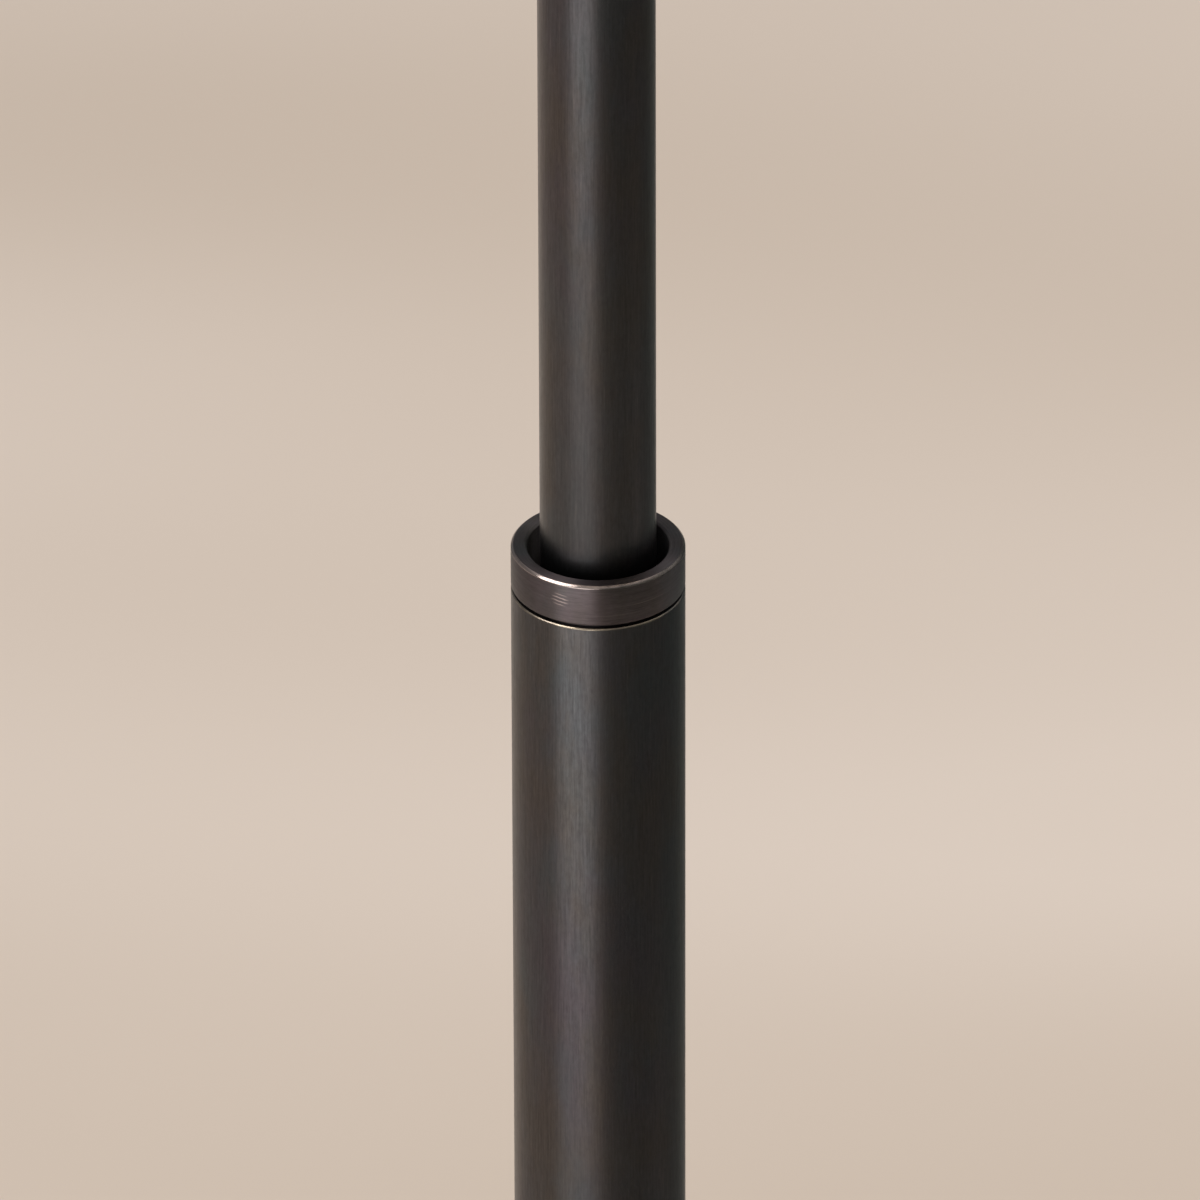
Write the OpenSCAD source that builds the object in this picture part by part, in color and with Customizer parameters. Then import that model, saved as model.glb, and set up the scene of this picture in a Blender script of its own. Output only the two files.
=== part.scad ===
// Telescopic floor lamp: a weighted round base, a stem whose inner tube slides and turns in an
// outer tube, and a lampholder with a harp and a drum shade. Millimetres, +Z up. The origin is
// on the floor under the stem, the front with the switch knob faces -Y, the cord inlet is at +Y.

/* [Base] */
// Outside diameter of the spun cover
base_d = 260; // [220:1:340]
// Thickness of the felt pad that the lamp stands on
pad_t = 3; // [2:0.5:5]
// Height of the cast iron weight at its edge
weight_h = 16; // [14:0.5:24]
// Sheet thickness of the cover
cover_wall = 1.2; // [0.8:0.1:2]
// Outside radius of the cover's rounded edge
cover_edge_r = 6; // [3:0.5:9]
// Rise of the cover from its edge to the land under the stem
cover_crown = 2.4; // [1:0.1:6]
// Diameter of the flat land under the stem
land_d = 46; // [40:1:70]
// Height of the cover's lower rim over the floor
rim_gap = 1.2; // [0.5:0.1:1.6]
// Gap between the cover and the weight
weight_gap = 1; // [0.5:0.1:2]
// Distance of the pad's edge inside the edge of the weight
pad_inset = 2; // [1:0.5:6]
// Diameter of the recess for the washer and nut under the weight
recess_d = 36; // [32:1:44]
// Depth of that recess
recess_h = 9; // [8:0.5:11]

/* [Base fixings] */
// Outside diameter of the hollow threaded nipples
nipple_d = 10; // [9.5:0.1:10.6]
// Bore of the nipples, for the wires
nipple_bore = 7; // [6:0.1:7.6]
// Width across the flats of the nut
nut_af = 14; // [13:0.5:17]
// Thickness of the nut
nut_t = 3; // [2:0.5:4]
// Diameter of the washer
washer_d = 28; // [22:1:31]
// Thickness of the washer
washer_t = 2; // [1:0.5:2.5]
// Length of nipple that stands out under the nut
nipple_tail = 1.4; // [1:0.1:2]
// Diameter of the turned seat that the stem stands in
seat_d = 32; // [28:1:39]
// Height of the seat
seat_h = 9; // [7:0.5:14]
// Thickness of the seat under the end of the tube
seat_floor = 3; // [2:0.5:4]
// Thickness of the seat round the tube at its top
seat_wall = 3; // [2:0.5:4]
// Length of the threaded plug in the tube's lower end
plug_h = 20; // [15:1:40]

/* [Cord inlet] */
// Bore of the rubber grommet
inlet_d = 6.5; // [5:0.1:7]
// Wall of the grommet where it passes through the cover
grommet_wall = 1.4; // [1:0.1:1.6]
// Height of the grommet's outer flange over its body
grommet_flange = 1.3; // [0.8:0.1:1.4]
// Height of the grommet's inner lip over its body
grommet_lip = 0.8; // [0.5:0.1:1]
// Thickness of the flange and of the lip
grommet_t = 1.5; // [1:0.1:2]

/* [Stem] */
// Outside diameter of the outer tube
outer_d = 19.05; // [18.5:0.05:22.5]
// Wall of the outer tube
outer_wall = 1.1; // [0.9:0.05:1.2]
// Outside diameter of the inner tube
inner_d = 12.7; // [12.4:0.05:12.9]
// Wall of the inner tube
inner_wall = 1; // [0.8:0.05:1.2]
// Height of the collar's top face over the floor
stem_h = 800; // [720:5:950]
// Length of inner tube that shows at rest
shown_h = 400; // [200:5:460]
// Length that the inner tube still pulls out from there
pull_out = 150; // [50:5:180]
// Chamfer on the upper edge of the outer tube
tube_edge = 0.18; // [0.1:0.02:0.3]

/* [Collar] */
// Height of the collar
collar_h = 5; // [3.5:0.1:9]
// Bore of the collar
collar_bore = 15.5; // [14.4:0.05:15.9]
// Chamfer on the collar's edges
collar_edge = 0.22; // [0.1:0.02:0.4]
// Height of the dark seam between collar and tube
seam_h = 0.3; // [0.2:0.05:0.6]
// Depth of the seam
seam_depth = 0.6; // [0.3:0.05:0.8]
// Length of the collar's threaded spigot in the tube
spigot_h = 6; // [5:0.5:10]

/* [Guide bush] */
// Length of the guide bush under the collar
bush_h = 25; // [18:1:40]
// Length of the bearing land at each end of the bush
bush_land = 6; // [4:0.5:8]
// Depth of the relief between the lands
bush_relief = 0.4; // [0.2:0.05:0.6]
// Width of the slit along the bush
bush_slit = 1; // [0.5:0.1:2]

/* [Friction slider] */
// Length of the split sleeve on the lower end of the inner tube
sleeve_h = 60; // [56:1:90]
// Length of each spring tongue cut in the sleeve
tongue_l = 26; // [20:1:30]
// Height of the pressure pad at the free end of a tongue
tongue_pad_h = 6; // [4:0.5:8]
// Width of the cuts round a tongue
tongue_cut = 0.8; // [0.5:0.1:1.2]
// Thickness of the rubber rings on the sleeve
oring_t = 1.4; // [1.2:0.05:1.5]
// Distance of each rubber ring from the end of the sleeve
oring_in = 7; // [5:0.5:10]
// Height of the ring that holds the sleeve from above and stops the tube at full height
shoulder_h = 4; // [3:0.5:8]
// Height of the ring that holds the sleeve from below
foot_h = 6; // [4:0.5:10]
// Height of the two dogs that stop the swivel
dog_h = 2; // [1.5:0.1:4]
// Length of inner tube under the foot ring
foot_tail = 2; // [1:0.5:6]
// Thickness of the flange of the wire bush
wire_bush_t = 1.5; // [1:0.1:3]
// Length of the wire bush inside the tube
wire_bush_h = 8; // [5:0.5:15]
// Bore of the wire bush
wire_bush_bore = 7.4; // [6:0.1:8]

/* [Mast head] */
// Height of the cap on the inner tube
cap_h = 12; // [10:0.5:20]
// Length of the cap's spigot in the inner tube
cap_spigot_h = 14; // [10:1:25]
// Depth of the nipple in the cap
cap_thread_h = 9; // [6:0.5:9.5]
// Chamfer on the edges of the cap
cap_edge = 0.5; // [0.2:0.1:1]

/* [Harp] */
// Distance between the two legs of the harp at the saddle
saddle_w = 48; // [44:1:54]
// Thickness of the saddle
saddle_t = 1.5; // [1.2:0.1:1.8]
// Width of the saddle's strip
saddle_strip = 14; // [12.5:0.5:18]
// Height of the shoulder on which a ferrule rests, over the saddle's underside
saddle_leg_h = 14; // [11:0.5:20]
// Inside radius of the saddle's bends
saddle_bend_r = 4; // [2:0.5:6]
// Height of the pegs over the shoulders
peg_h = 5; // [3:0.5:8]
// Diameter of the harp's wire
harp_wire = 3.2; // [2.9:0.1:3.6]
// Width of the harp between the middles of its wires
harp_w = 105; // [96:1:124]
// Height of the harp's top wire over the saddle
harp_h = 185; // [180:1:230]
// Radius of the harp's upper corners
harp_top_r = 45; // [30:1:48]
// Straight length of wire over each peg
harp_leg_h = 12; // [8:0.5:16]
// Radius of the tight bend over each leg
harp_leg_r = 6; // [4:0.5:9]
// Height of the ferrules
ferrule_h = 12; // [9:0.5:16]
// Wall of the ferrules
ferrule_wall = 1; // [0.6:0.1:1.6]
// Diameter of the boss under the shade
boss_d = 9.5; // [8:0.1:12]
// Height of the boss over the middle of the wire
boss_up = 2.8; // [2.2:0.1:4]
// Diameter of the threaded stud
stud_d = 6.35; // [5.8:0.05:7]
// Height of the stud over the boss
stud_h = 12; // [9:0.5:16]

/* [Lampholder] */
// Outside diameter of the lampholder's cap
holder_d = 34.4; // [34:0.1:37]
// Sheet thickness of cap and shell
holder_wall = 0.6; // [0.4:0.05:0.7]
// Diameter of the hub of the cap
hub_d = 15; // [14:0.5:18]
// Height of the hub
hub_h = 6; // [5:0.5:8]
// Height of the straight rim of the cap
holder_rim_h = 4.3; // [4.1:0.1:5]
// Depth of the shell in the cap
shell_in = 3.5; // [2.5:0.5:4]
// Height of the shell's top edge over the saddle
holder_h = 62; // [58:0.5:66]
// Width of the curl at the shell's top edge
shell_curl = 1.4; // [1:0.1:1.6]
// Wall of the insulating liner
liner_wall = 0.7; // [0.5:0.05:0.9]
// Height of the switch block's underside over the saddle
block_z = 18; // [16:0.5:20]
// Height of the switch block
block_h = 17; // [15:0.5:19]
// Outside diameter of the screw shell
screw_shell_d = 28.2; // [27.6:0.1:28.6]
// Sheet thickness of the screw shell
screw_shell_wall = 0.4; // [0.3:0.05:0.5]
// Depth of the screw shell's edge under the top edge of the outer shell
screw_shell_down = 4.2; // [3.5:0.1:8]
// Height of the centre contact over the block
contact_h = 4; // [3:0.5:6]
// Diameter of the centre contact
contact_d = 7; // [5:0.5:9]
// Gap round the centre contact, which insulates it from the screw shell
contact_gap = 3.5; // [2:0.5:4]

/* [Switch knob] */
// Height of the knob's axis over the saddle
knob_z = 28; // [27.5:0.25:29]
// Diameter of the knob
knob_d = 12; // [9:0.5:13.5]
// Length of the knob
knob_l = 10; // [8:0.5:14]
// Chamfer on the front edge of the knob
knob_edge = 1.5; // [0.5:0.1:2.5]
// Gap between the knob and the shell
knob_gap = 1.5; // [1:0.1:3]
// Diameter of the switch shaft
shaft_d = 4; // [3:0.1:4.5]
// Number of flutes round the knob
flute_count = 16; // [8:1:20]

/* [Bulb] */
// Diameter of the bulb
bulb_d = 60; // [50:1:64]
// Length of the bulb with its cap
bulb_l = 108; // [100:1:118]
// Diameter of the bulb's screw cap
bulb_cap_d = 26.4; // [26:0.05:26.6]
// Length of the bulb's screw cap
bulb_cap_h = 26; // [24:0.5:28]
// Thickness of the glass
glass_t = 0.8; // [0.6:0.1:1.2]

/* [Shade] */
// Outside diameter of the shade at its top
shade_top_d = 330; // [290:5:380]
// Outside diameter of the shade at its bottom
shade_bottom_d = 400; // [340:5:460]
// Height of the shade
shade_h = 250; // [180:5:280]
// Thickness of the linen
skin_t = 0.5; // [0.3:0.05:1]
// Thickness of the stiff liner behind it
liner_t = 0.5; // [0.3:0.05:1]
// Diameter of the wire of the two rings
ring_wire = 3; // [2.6:0.1:4]
// Diameter of the wire of the spider's arms
arm_wire = 2.5; // [2:0.1:2.5]
// Height of the top ring over the spider's hub
spider_drop = 12; // [8:0.5:25]
// Radius of the bend in each arm
arm_bend_r = 6; // [4:0.5:8]
// Diameter of the spider's hub
spider_hub_d = 22; // [18:0.5:30]
// Thickness of the spider's hub
spider_hub_t = 2; // [1.2:0.1:3]
// Height of the trim that binds each edge
trim_h = 10; // [6:0.5:16]
// Thickness of the trim
trim_t = 0.5; // [0.3:0.05:0.8]

/* [Finial] */
// Diameter of the finial's ball
finial_d = 15; // [13:0.5:20]
// Diameter of the finial's foot
finial_foot_d = 12; // [11:0.5:18]
// Height of the finial
finial_h = 24; // [22:0.5:34]
// Thickness of the finial's foot at its edge
finial_foot_t = 1; // [0.6:0.1:2]
// Height of the cone from the foot to the waist
finial_cone_h = 2; // [1:0.1:3]
// Wall of the finial round the stud at its waist
finial_wall = 1; // [0.6:0.1:1.5]

/* [Hidden] */
$fn = 96;

// Overrun of a cut past the face that it opens
over = 1;
// Radial gap of a piece that is pressed, glued or screwed in place
seat_clear = 0.03;
// Radial gap of a piece that turns or slides
run_clear = 0.05;
// Gap left at the stops of the slide
stop_gap = 0.4;
// Gap over and under the sleeve, so that the inner tube can turn
turn_gap = 0.3;
// Gap of a bolt hole round a nipple or stud
hole_clear = 0.2;
// Gap between the glued layers of the shade
glue_t = 0.05;
// Gap between the trims of the shade and the edges that they bind
trim_gap = 0.1;
// Gap round the lip of the grommet in its channel
channel_clear = 0.3;
// Gap between the lip of the grommet and the inside of the cover
grommet_gap = 0.3;
// Gap round and over the head of a terminal screw in its pocket
pocket_clear = 0.6;

// Heights of the base
weight_top = pad_t + weight_h;
edge_top = weight_top + weight_gap + cover_wall;
land_z = edge_top + cover_crown;
tube_z = land_z + seat_floor;
weight_r = base_d / 2 - cover_wall - weight_gap;
nut_top = pad_t + recess_h - washer_t;
grommet_body_d = inlet_d + 2 * grommet_wall;
grommet_lip_d = grommet_body_d + 2 * grommet_lip;
channel_w = grommet_lip_d + 2 * channel_clear;
inlet_z = pad_t + channel_w / 2;
crown_steps = 12;
arc_steps = 10;

// Heights of the stem, from the collar down
outer_bore = outer_d - 2 * outer_wall;
inner_bore = inner_d - 2 * inner_wall;
tube_top = stem_h - collar_h - seam_h;
bush_top = tube_top - spigot_h;
bush_z = bush_top - bush_h;
shoulder_z = bush_z - stop_gap - pull_out - shoulder_h;
sleeve_z = shoulder_z - turn_gap - sleeve_h;
foot_z = sleeve_z - turn_gap - dog_h - foot_h;
inner_z = foot_z - foot_tail;
head_z = stem_h + shown_h;

// Radii of the slider
sleeve_gap = 0.15;
sleeve_r = outer_bore / 2 - sleeve_gap;
tongue_pad_r = outer_bore / 2 - run_clear;
oring_clear = 0.01;
oring_r = outer_bore / 2 - oring_clear - oring_t / 2;
groove_clear = 0.02;
tongue_count = 4;
tongue_angle = 40;
tongue_pad_angle = 26;
dog_angle = 24;
stop_ring_r = sleeve_r - groove_clear;

// Heights of the head
saddle_z = head_z + cap_h;
holder_z = saddle_z + saddle_t;
nipple_up = 2;
peg_l = saddle_leg_h + peg_h;
harp_z = holder_z + harp_h;
spider_z = harp_z + boss_up;
peg_w = 2.6;
peg_clear = 0.1;
ferrule_bore = harp_wire + 2 * peg_clear;
leg_w = 8;

// Radii and heights of the lampholder
dome_r = (holder_d - hub_d) / 2;
holder_cap_h = hub_h + dome_r + holder_rim_h;
shell_r = holder_d / 2 - holder_wall - seat_clear;
holder_liner_r = shell_r - holder_wall - seat_clear;
block_r = holder_liner_r - liner_wall - seat_clear;
block_top = holder_z + block_z + block_h;
bulb_z = block_top + contact_h;
knob_y = holder_d / 2 + knob_gap;
shaft_in = 8;
shaft_hole_clear = 0.5;
knob_wall = 2;
terminal_d = 7;
terminal_t = 2.4;
terminal_shank_d = 3.4;
terminal_shank_l = 5;

// Shape of the bulb
bulb_tip_d = 9.5;
bulb_tip_h = 1.6;
bulb_cone_h = 4;
bulb_cap_t = 0.4;
neck_in = 10;
neck_r = bulb_cap_d / 2 - bulb_cap_t - glue_t;
globe_z = bulb_z + bulb_l - bulb_d / 2;

// Places of the shade
ring_z = spider_z + spider_hub_t / 2 + spider_drop;
ring_inset = 1;
shade_top_z = ring_z + ring_wire / 2 + ring_inset;
shade_z = shade_top_z - shade_h;
bottom_ring_z = shade_z + ring_wire / 2 + ring_inset;
shade_slope = (shade_bottom_d - shade_top_d) / 2 / shade_h;
ring_gap = 0.1;
arm_count = 3;
arm_turn = 90;

// Points of an arc round (x, y) from angle a to angle b
function arc(x, y, r, a, b, n = arc_steps) =
    [for (i = [0 : n]) [x + r * cos(a + (b - a) * i / n), y + r * sin(a + (b - a) * i / n)]];

// Outside radius of the shade at height z
function shade_r(z) = shade_top_d / 2 + (shade_top_z - z) * shade_slope;

// Radius of a ring's middle line, inside the shade at height z
function ring_r(z) = shade_r(z) - skin_t - glue_t - liner_t - ring_gap - ring_wire / 2;

// A plain ring or tube that stands on height z
module tube(d, bore, z, h) {
    translate([0, 0, z])
        difference() {
            cylinder(d = d, h = h);
            translate([0, 0, -over]) cylinder(d = bore, h = h + 2 * over);
        }
}

// Part of a ring between radii r0 and r1, of angle a, middled on direction at
module ring_part(r0, r1, z, h, a, at) {
    translate([0, 0, z])
        rotate([0, 0, at - a / 2])
            rotate_extrude(angle = a)
                translate([r0, 0]) square([r1 - r0, h]);
}

// Rises by half a cosine wave from the edge of the cover to the land under the stem
function crown(z, down) =
    [for (i = [0 : crown_steps])
        let (t = down ? 1 - i / crown_steps : i / crown_steps,
            r0 = base_d / 2 - cover_edge_r, r1 = land_d / 2)
        [r0 + (r1 - r0) * t, z + cover_crown * (1 - cos(180 * t)) / 2]];

// The felt disc that the lamp stands on
module base_pad() {
    color("#2b2a29") cylinder(r = weight_r - pad_inset, h = pad_t);
}

// The casting, with a boss for the cover, a recess for the nut and a channel for the cord
module base_weight() {
    cut = cover_edge_r / 2;
    color("#3a3a3c")
        difference() {
            rotate_extrude()
                polygon([[0, pad_t], [weight_r, pad_t], [weight_r, weight_top - cut],
                    [weight_r - cut, weight_top], [land_d / 2, weight_top],
                    [land_d / 2, land_z - cover_wall], [0, land_z - cover_wall]]);
            translate([0, 0, pad_t - over])
                cylinder(d = recess_d, h = recess_h + over);
            cylinder(d = nipple_d + 2 * hole_clear, h = land_z + over);
            translate([-channel_w / 2, 0, pad_t - over])
                cube([channel_w, weight_r + over, channel_w + over]);
        }
}

// The spun cover, with a rolled edge, a shallow crown and the hole of the grommet
module base_cover() {
    outer_r = base_d / 2;
    hole_r = nipple_d / 2 + hole_clear;
    color("#46403b")
        difference() {
            rotate_extrude()
                polygon(concat([[outer_r, rim_gap]],
                    arc(outer_r - cover_edge_r, edge_top - cover_edge_r, cover_edge_r, 0, 90),
                    crown(edge_top, false),
                    [[hole_r, land_z], [hole_r, land_z - cover_wall]],
                    crown(edge_top - cover_wall, true),
                    arc(outer_r - cover_edge_r, edge_top - cover_edge_r,
                        cover_edge_r - cover_wall, 90, 0),
                    [[outer_r - cover_wall, rim_gap]]));
            translate([0, outer_r + over, inlet_z])
                rotate([90, 0, 0]) cylinder(d = grommet_body_d + 2 * seat_clear,
                    h = cover_wall + 4 * over);
        }
}

// The rubber grommet snapped into the back of the rim
module cord_grommet() {
    inside = cover_wall + grommet_gap;
    color("#1d1c1b")
        translate([0, base_d / 2, inlet_z])
            rotate([-90, 0, 0])
                difference() {
                    union() {
                        cylinder(d1 = grommet_body_d + 2 * grommet_flange,
                            d2 = grommet_body_d + grommet_flange, h = grommet_t);
                        translate([0, 0, -inside]) cylinder(d = grommet_body_d, h = inside);
                        translate([0, 0, -inside - grommet_t])
                            cylinder(d = grommet_lip_d, h = grommet_t);
                    }
                    translate([0, 0, -inside - grommet_t - over])
                        cylinder(d = inlet_d, h = inside + 2 * grommet_t + 2 * over);
                }
}

// The steel washer over the nut
module base_washer() {
    color("#8e8d8a") tube(washer_d, nipple_d + 2 * hole_clear, nut_top, washer_t);
}

// The hexagon nut that pulls the stem down on the base
module base_nut() {
    color("#8e8d8a")
        translate([0, 0, nut_top - nut_t])
            difference() {
                cylinder(d = nut_af / cos(30), h = nut_t, $fn = 6);
                translate([0, 0, -over])
                    cylinder(d = nipple_d + 2 * seat_clear, h = nut_t + 2 * over);
            }
}

// The hollow nipple that joins the base and the stem
module base_nipple() {
    low = nut_top - nut_t - nipple_tail;
    color("#a39a86") tube(nipple_d, nipple_bore, low, tube_z + plug_h - nipple_up - low);
}

// The turned seat that the outer tube stands in
module stem_seat() {
    top_r = outer_d / 2 + seat_wall;
    cove_r = min(seat_d / 2 - top_r, seat_h - seat_floor);
    color("#46403b")
        difference() {
            rotate_extrude()
                polygon(concat([[0, land_z], [seat_d / 2, land_z],
                        [seat_d / 2, land_z + seat_h - cove_r]],
                    arc(seat_d / 2, land_z + seat_h, cove_r, 270, 180),
                    [[0, land_z + seat_h]]));
            translate([0, 0, tube_z])
                cylinder(d = outer_d + 2 * seat_clear, h = seat_h);
            translate([0, 0, land_z - over])
                cylinder(d = nipple_d + 2 * hole_clear, h = seat_h);
        }
}

// The threaded plug brazed into the lower end of the outer tube
module stem_plug() {
    color("#8a7a52")
        tube(outer_bore - 2 * seat_clear, nipple_d + 2 * seat_clear, tube_z, plug_h);
}

// The outer tube, with the bright chamfer at its upper end
module outer_tube() {
    color("#45403c")
        rotate_extrude()
            polygon([[outer_bore / 2, tube_z], [outer_d / 2, tube_z],
                [outer_d / 2, tube_top - tube_edge], [outer_d / 2 - tube_edge, tube_top],
                [outer_bore / 2, tube_top]]);
}

// The collar, flush with the tube, over a dark seam, with its threaded spigot in the tube
module collar() {
    r = outer_d / 2;
    bore_r = collar_bore / 2;
    spigot_r = outer_bore / 2 - seat_clear;
    color("#4a3f3b")
        rotate_extrude()
            polygon([[bore_r, bush_top], [spigot_r, bush_top], [spigot_r, tube_top],
                [r - seam_depth, tube_top], [r - seam_depth, tube_top + seam_h],
                [r - collar_edge, tube_top + seam_h], [r, tube_top + seam_h + collar_edge],
                [r, stem_h - collar_edge], [r - collar_edge, stem_h],
                [bore_r + collar_edge, stem_h], [bore_r, stem_h - collar_edge]]);
}

// The split plastic bush that guides the inner tube with a land at each end
module guide_bush() {
    r = outer_bore / 2 - seat_clear;
    bore_r = inner_d / 2 + run_clear;
    relief_r = bore_r + bush_relief;
    color("#1b1b1c")
        difference() {
            rotate_extrude()
                polygon([[bore_r, bush_z + bush_relief], [relief_r, bush_z], [r, bush_z],
                    [r, bush_top], [relief_r, bush_top], [bore_r, bush_top - bush_relief],
                    [bore_r, bush_top - bush_land],
                    [relief_r, bush_top - bush_land - bush_relief],
                    [relief_r, bush_z + bush_land + bush_relief],
                    [bore_r, bush_z + bush_land]]);
            translate([-bush_slit / 2, 0, bush_z - over])
                cube([bush_slit, outer_d, bush_h + 2 * over]);
        }
}

// The cuts that free one spring tongue, which stays joined at its lower end
module tongue_cuts(at) {
    low = sleeve_z + (sleeve_h - tongue_l) / 2;
    for (side = [-1, 1])
        rotate([0, 0, at + side * tongue_angle / 2])
            translate([0, -tongue_cut / 2, low])
                cube([outer_d, tongue_cut, tongue_l]);
    ring_part(inner_d / 2 - over, outer_d / 2, low + tongue_l - tongue_cut, tongue_cut,
        tongue_angle, at);
}

// The friction sleeve: four spring tongues with pressure pads, grooves for two rubber rings
// and, at the back under its lower end, the dog that stops the swivel
module friction_sleeve() {
    bore_r = inner_d / 2 + run_clear;
    pad_z = sleeve_z + (sleeve_h + tongue_l) / 2 - 2 * tongue_cut - tongue_pad_h;
    color("#d9d6cc")
        difference() {
            union() {
                tube(2 * sleeve_r, 2 * bore_r, sleeve_z - dog_h, sleeve_h + dog_h);
                for (i = [0 : tongue_count - 1])
                    ring_part((bore_r + sleeve_r) / 2, tongue_pad_r, pad_z, tongue_pad_h,
                        tongue_pad_angle, i * 360 / tongue_count);
            }
            ring_part(inner_d / 2 - over, outer_d / 2, sleeve_z - dog_h - over, dog_h + over,
                360 - dog_angle, 270);
            for (i = [0 : tongue_count - 1]) tongue_cuts(i * 360 / tongue_count);
            for (z = [sleeve_z + oring_in, sleeve_z + sleeve_h - oring_in])
                tube(outer_d, 2 * oring_r - oring_t - 2 * groove_clear,
                    z - oring_t / 2 - groove_clear, oring_t + 2 * groove_clear);
        }
}

// The two rubber rings that drag on the bore of the outer tube
module friction_rings() {
    color("#141414")
        for (z = [sleeve_z + oring_in, sleeve_z + sleeve_h - oring_in])
            translate([0, 0, z])
                rotate_extrude() translate([oring_r, 0]) circle(d = oring_t, $fn = 32);
}

// The inner tube
module inner_tube() {
    color("#504a44") tube(inner_d, inner_bore, inner_z, head_z - inner_z);
}

// The ring over the sleeve, swaged on the inner tube
module shoulder_ring() {
    color("#8a7a52")
        tube(2 * stop_ring_r, inner_d + 2 * seat_clear, shoulder_z, shoulder_h);
}

// The ring under the sleeve, with the other dog at the front
module foot_ring() {
    color("#8a7a52")
        difference() {
            tube(2 * stop_ring_r, inner_d + 2 * seat_clear, foot_z, foot_h + dog_h);
            ring_part(inner_d / 2 - over, outer_d / 2, foot_z + foot_h, dog_h + over,
                360 - dog_angle, 90);
        }
}

// The plastic bush that keeps the wires off the end of the inner tube
module wire_bush() {
    color("#e6e2d6")
        difference() {
            union() {
                translate([0, 0, inner_z - wire_bush_t])
                    cylinder(d = inner_d, h = wire_bush_t);
                translate([0, 0, inner_z])
                    cylinder(d = inner_bore - 2 * seat_clear, h = wire_bush_h);
            }
            translate([0, 0, inner_z - wire_bush_t - over])
                cylinder(d = wire_bush_bore, h = wire_bush_h + wire_bush_t + 2 * over);
        }
}

// The cap on the inner tube, which comes down on the collar when the lamp is closed
module mast_cap() {
    r = outer_d / 2;
    thread_r = nipple_d / 2 + seat_clear;
    wire_r = nipple_bore / 2;
    thread_z = saddle_z - cap_thread_h;
    spigot_r = inner_bore / 2 - seat_clear;
    color("#4a3f3b")
        rotate_extrude()
            polygon([[wire_r, head_z - cap_spigot_h], [spigot_r, head_z - cap_spigot_h],
                [spigot_r, head_z], [r - cap_edge, head_z], [r, head_z + cap_edge],
                [r, saddle_z - cap_edge], [r - cap_edge, saddle_z], [thread_r, saddle_z],
                [thread_r, thread_z], [wire_r, thread_z]]);
}

// The hollow nipple that holds saddle and lampholder on the cap
module mast_nipple() {
    color("#a39a86")
        tube(nipple_d, nipple_bore, saddle_z - cap_thread_h,
            cap_thread_h + saddle_t + hub_h + nipple_up);
}

// One leg of the saddle, over its underside: the bend, the tapered leg and the peg
module saddle_leg() {
    bend_x = saddle_w / 2 - saddle_t / 2 - saddle_bend_r;
    bend_z = saddle_t + saddle_bend_r;
    translate([bend_x, 0, bend_z])
        rotate([90, 0, 0])
            rotate([0, 0, -90])
                rotate_extrude(angle = 90)
                    translate([saddle_bend_r, -saddle_strip / 2])
                        square([saddle_t, saddle_strip]);
    translate([bend_x + saddle_bend_r, 0, 0])
        rotate([90, 0, 90])
            linear_extrude(saddle_t)
                polygon([[-saddle_strip / 2, bend_z], [saddle_strip / 2, bend_z],
                    [leg_w / 2, saddle_leg_h], [peg_w / 2, saddle_leg_h], [peg_w / 2, peg_l],
                    [-peg_w / 2, peg_l], [-peg_w / 2, saddle_leg_h],
                    [-leg_w / 2, saddle_leg_h]]);
}

// The pressed saddle that carries the harp
module harp_saddle() {
    flat_w = saddle_w - saddle_t - 2 * saddle_bend_r;
    color("#6b6252")
        translate([0, 0, saddle_z])
            difference() {
                union() {
                    translate([-flat_w / 2, -saddle_strip / 2, 0])
                        cube([flat_w, saddle_strip, saddle_t]);
                    saddle_leg();
                    mirror([1, 0, 0]) saddle_leg();
                }
                translate([0, 0, -over])
                    cylinder(d = nipple_d + 2 * hole_clear, h = saddle_t + 2 * over);
            }
}

// A piece of wire bent to radius r round (x, z), from angle a over the angle turn
module wire_bend(x, z, r, a, turn, d) {
    translate([x, 0, z])
        rotate([90, 0, 0])
            rotate([0, 0, a])
                rotate_extrude(angle = turn) translate([r, 0]) circle(d = d, $fn = 32);
}

// One side of the harp, from the top of its peg to the middle of the top wire
module harp_side() {
    low_r = (harp_w - saddle_w) / 2 - harp_leg_r;
    side_z = harp_leg_h + harp_leg_r + low_r;
    top_z = harp_z - saddle_z - peg_l;
    corner_z = top_z - harp_top_r;
    flat_l = harp_w / 2 - harp_top_r;
    translate([saddle_w / 2, 0, 0]) cylinder(d = harp_wire, h = harp_leg_h, $fn = 32);
    wire_bend(saddle_w / 2 + harp_leg_r, harp_leg_h, harp_leg_r, 90, 90, harp_wire);
    wire_bend(harp_w / 2 - low_r, side_z, low_r, -90, 90, harp_wire);
    translate([harp_w / 2, 0, side_z])
        cylinder(d = harp_wire, h = corner_z - side_z, $fn = 32);
    wire_bend(flat_l, corner_z, harp_top_r, 0, 90, harp_wire);
    translate([0, 0, top_z])
        rotate([0, 90, 0]) cylinder(d = harp_wire, h = flat_l, $fn = 32);
}

// The harp: one bent wire, with the boss and stud that carry the shade
module harp() {
    top_z = harp_z - saddle_z - peg_l;
    color("#6b6252")
        translate([0, 0, saddle_z + peg_l]) {
            harp_side();
            mirror([1, 0, 0]) harp_side();
            translate([0, 0, top_z - boss_up]) cylinder(d = boss_d, h = 2 * boss_up);
            translate([0, 0, top_z]) cylinder(d = stud_d, h = boss_up + stud_h);
        }
}

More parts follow.
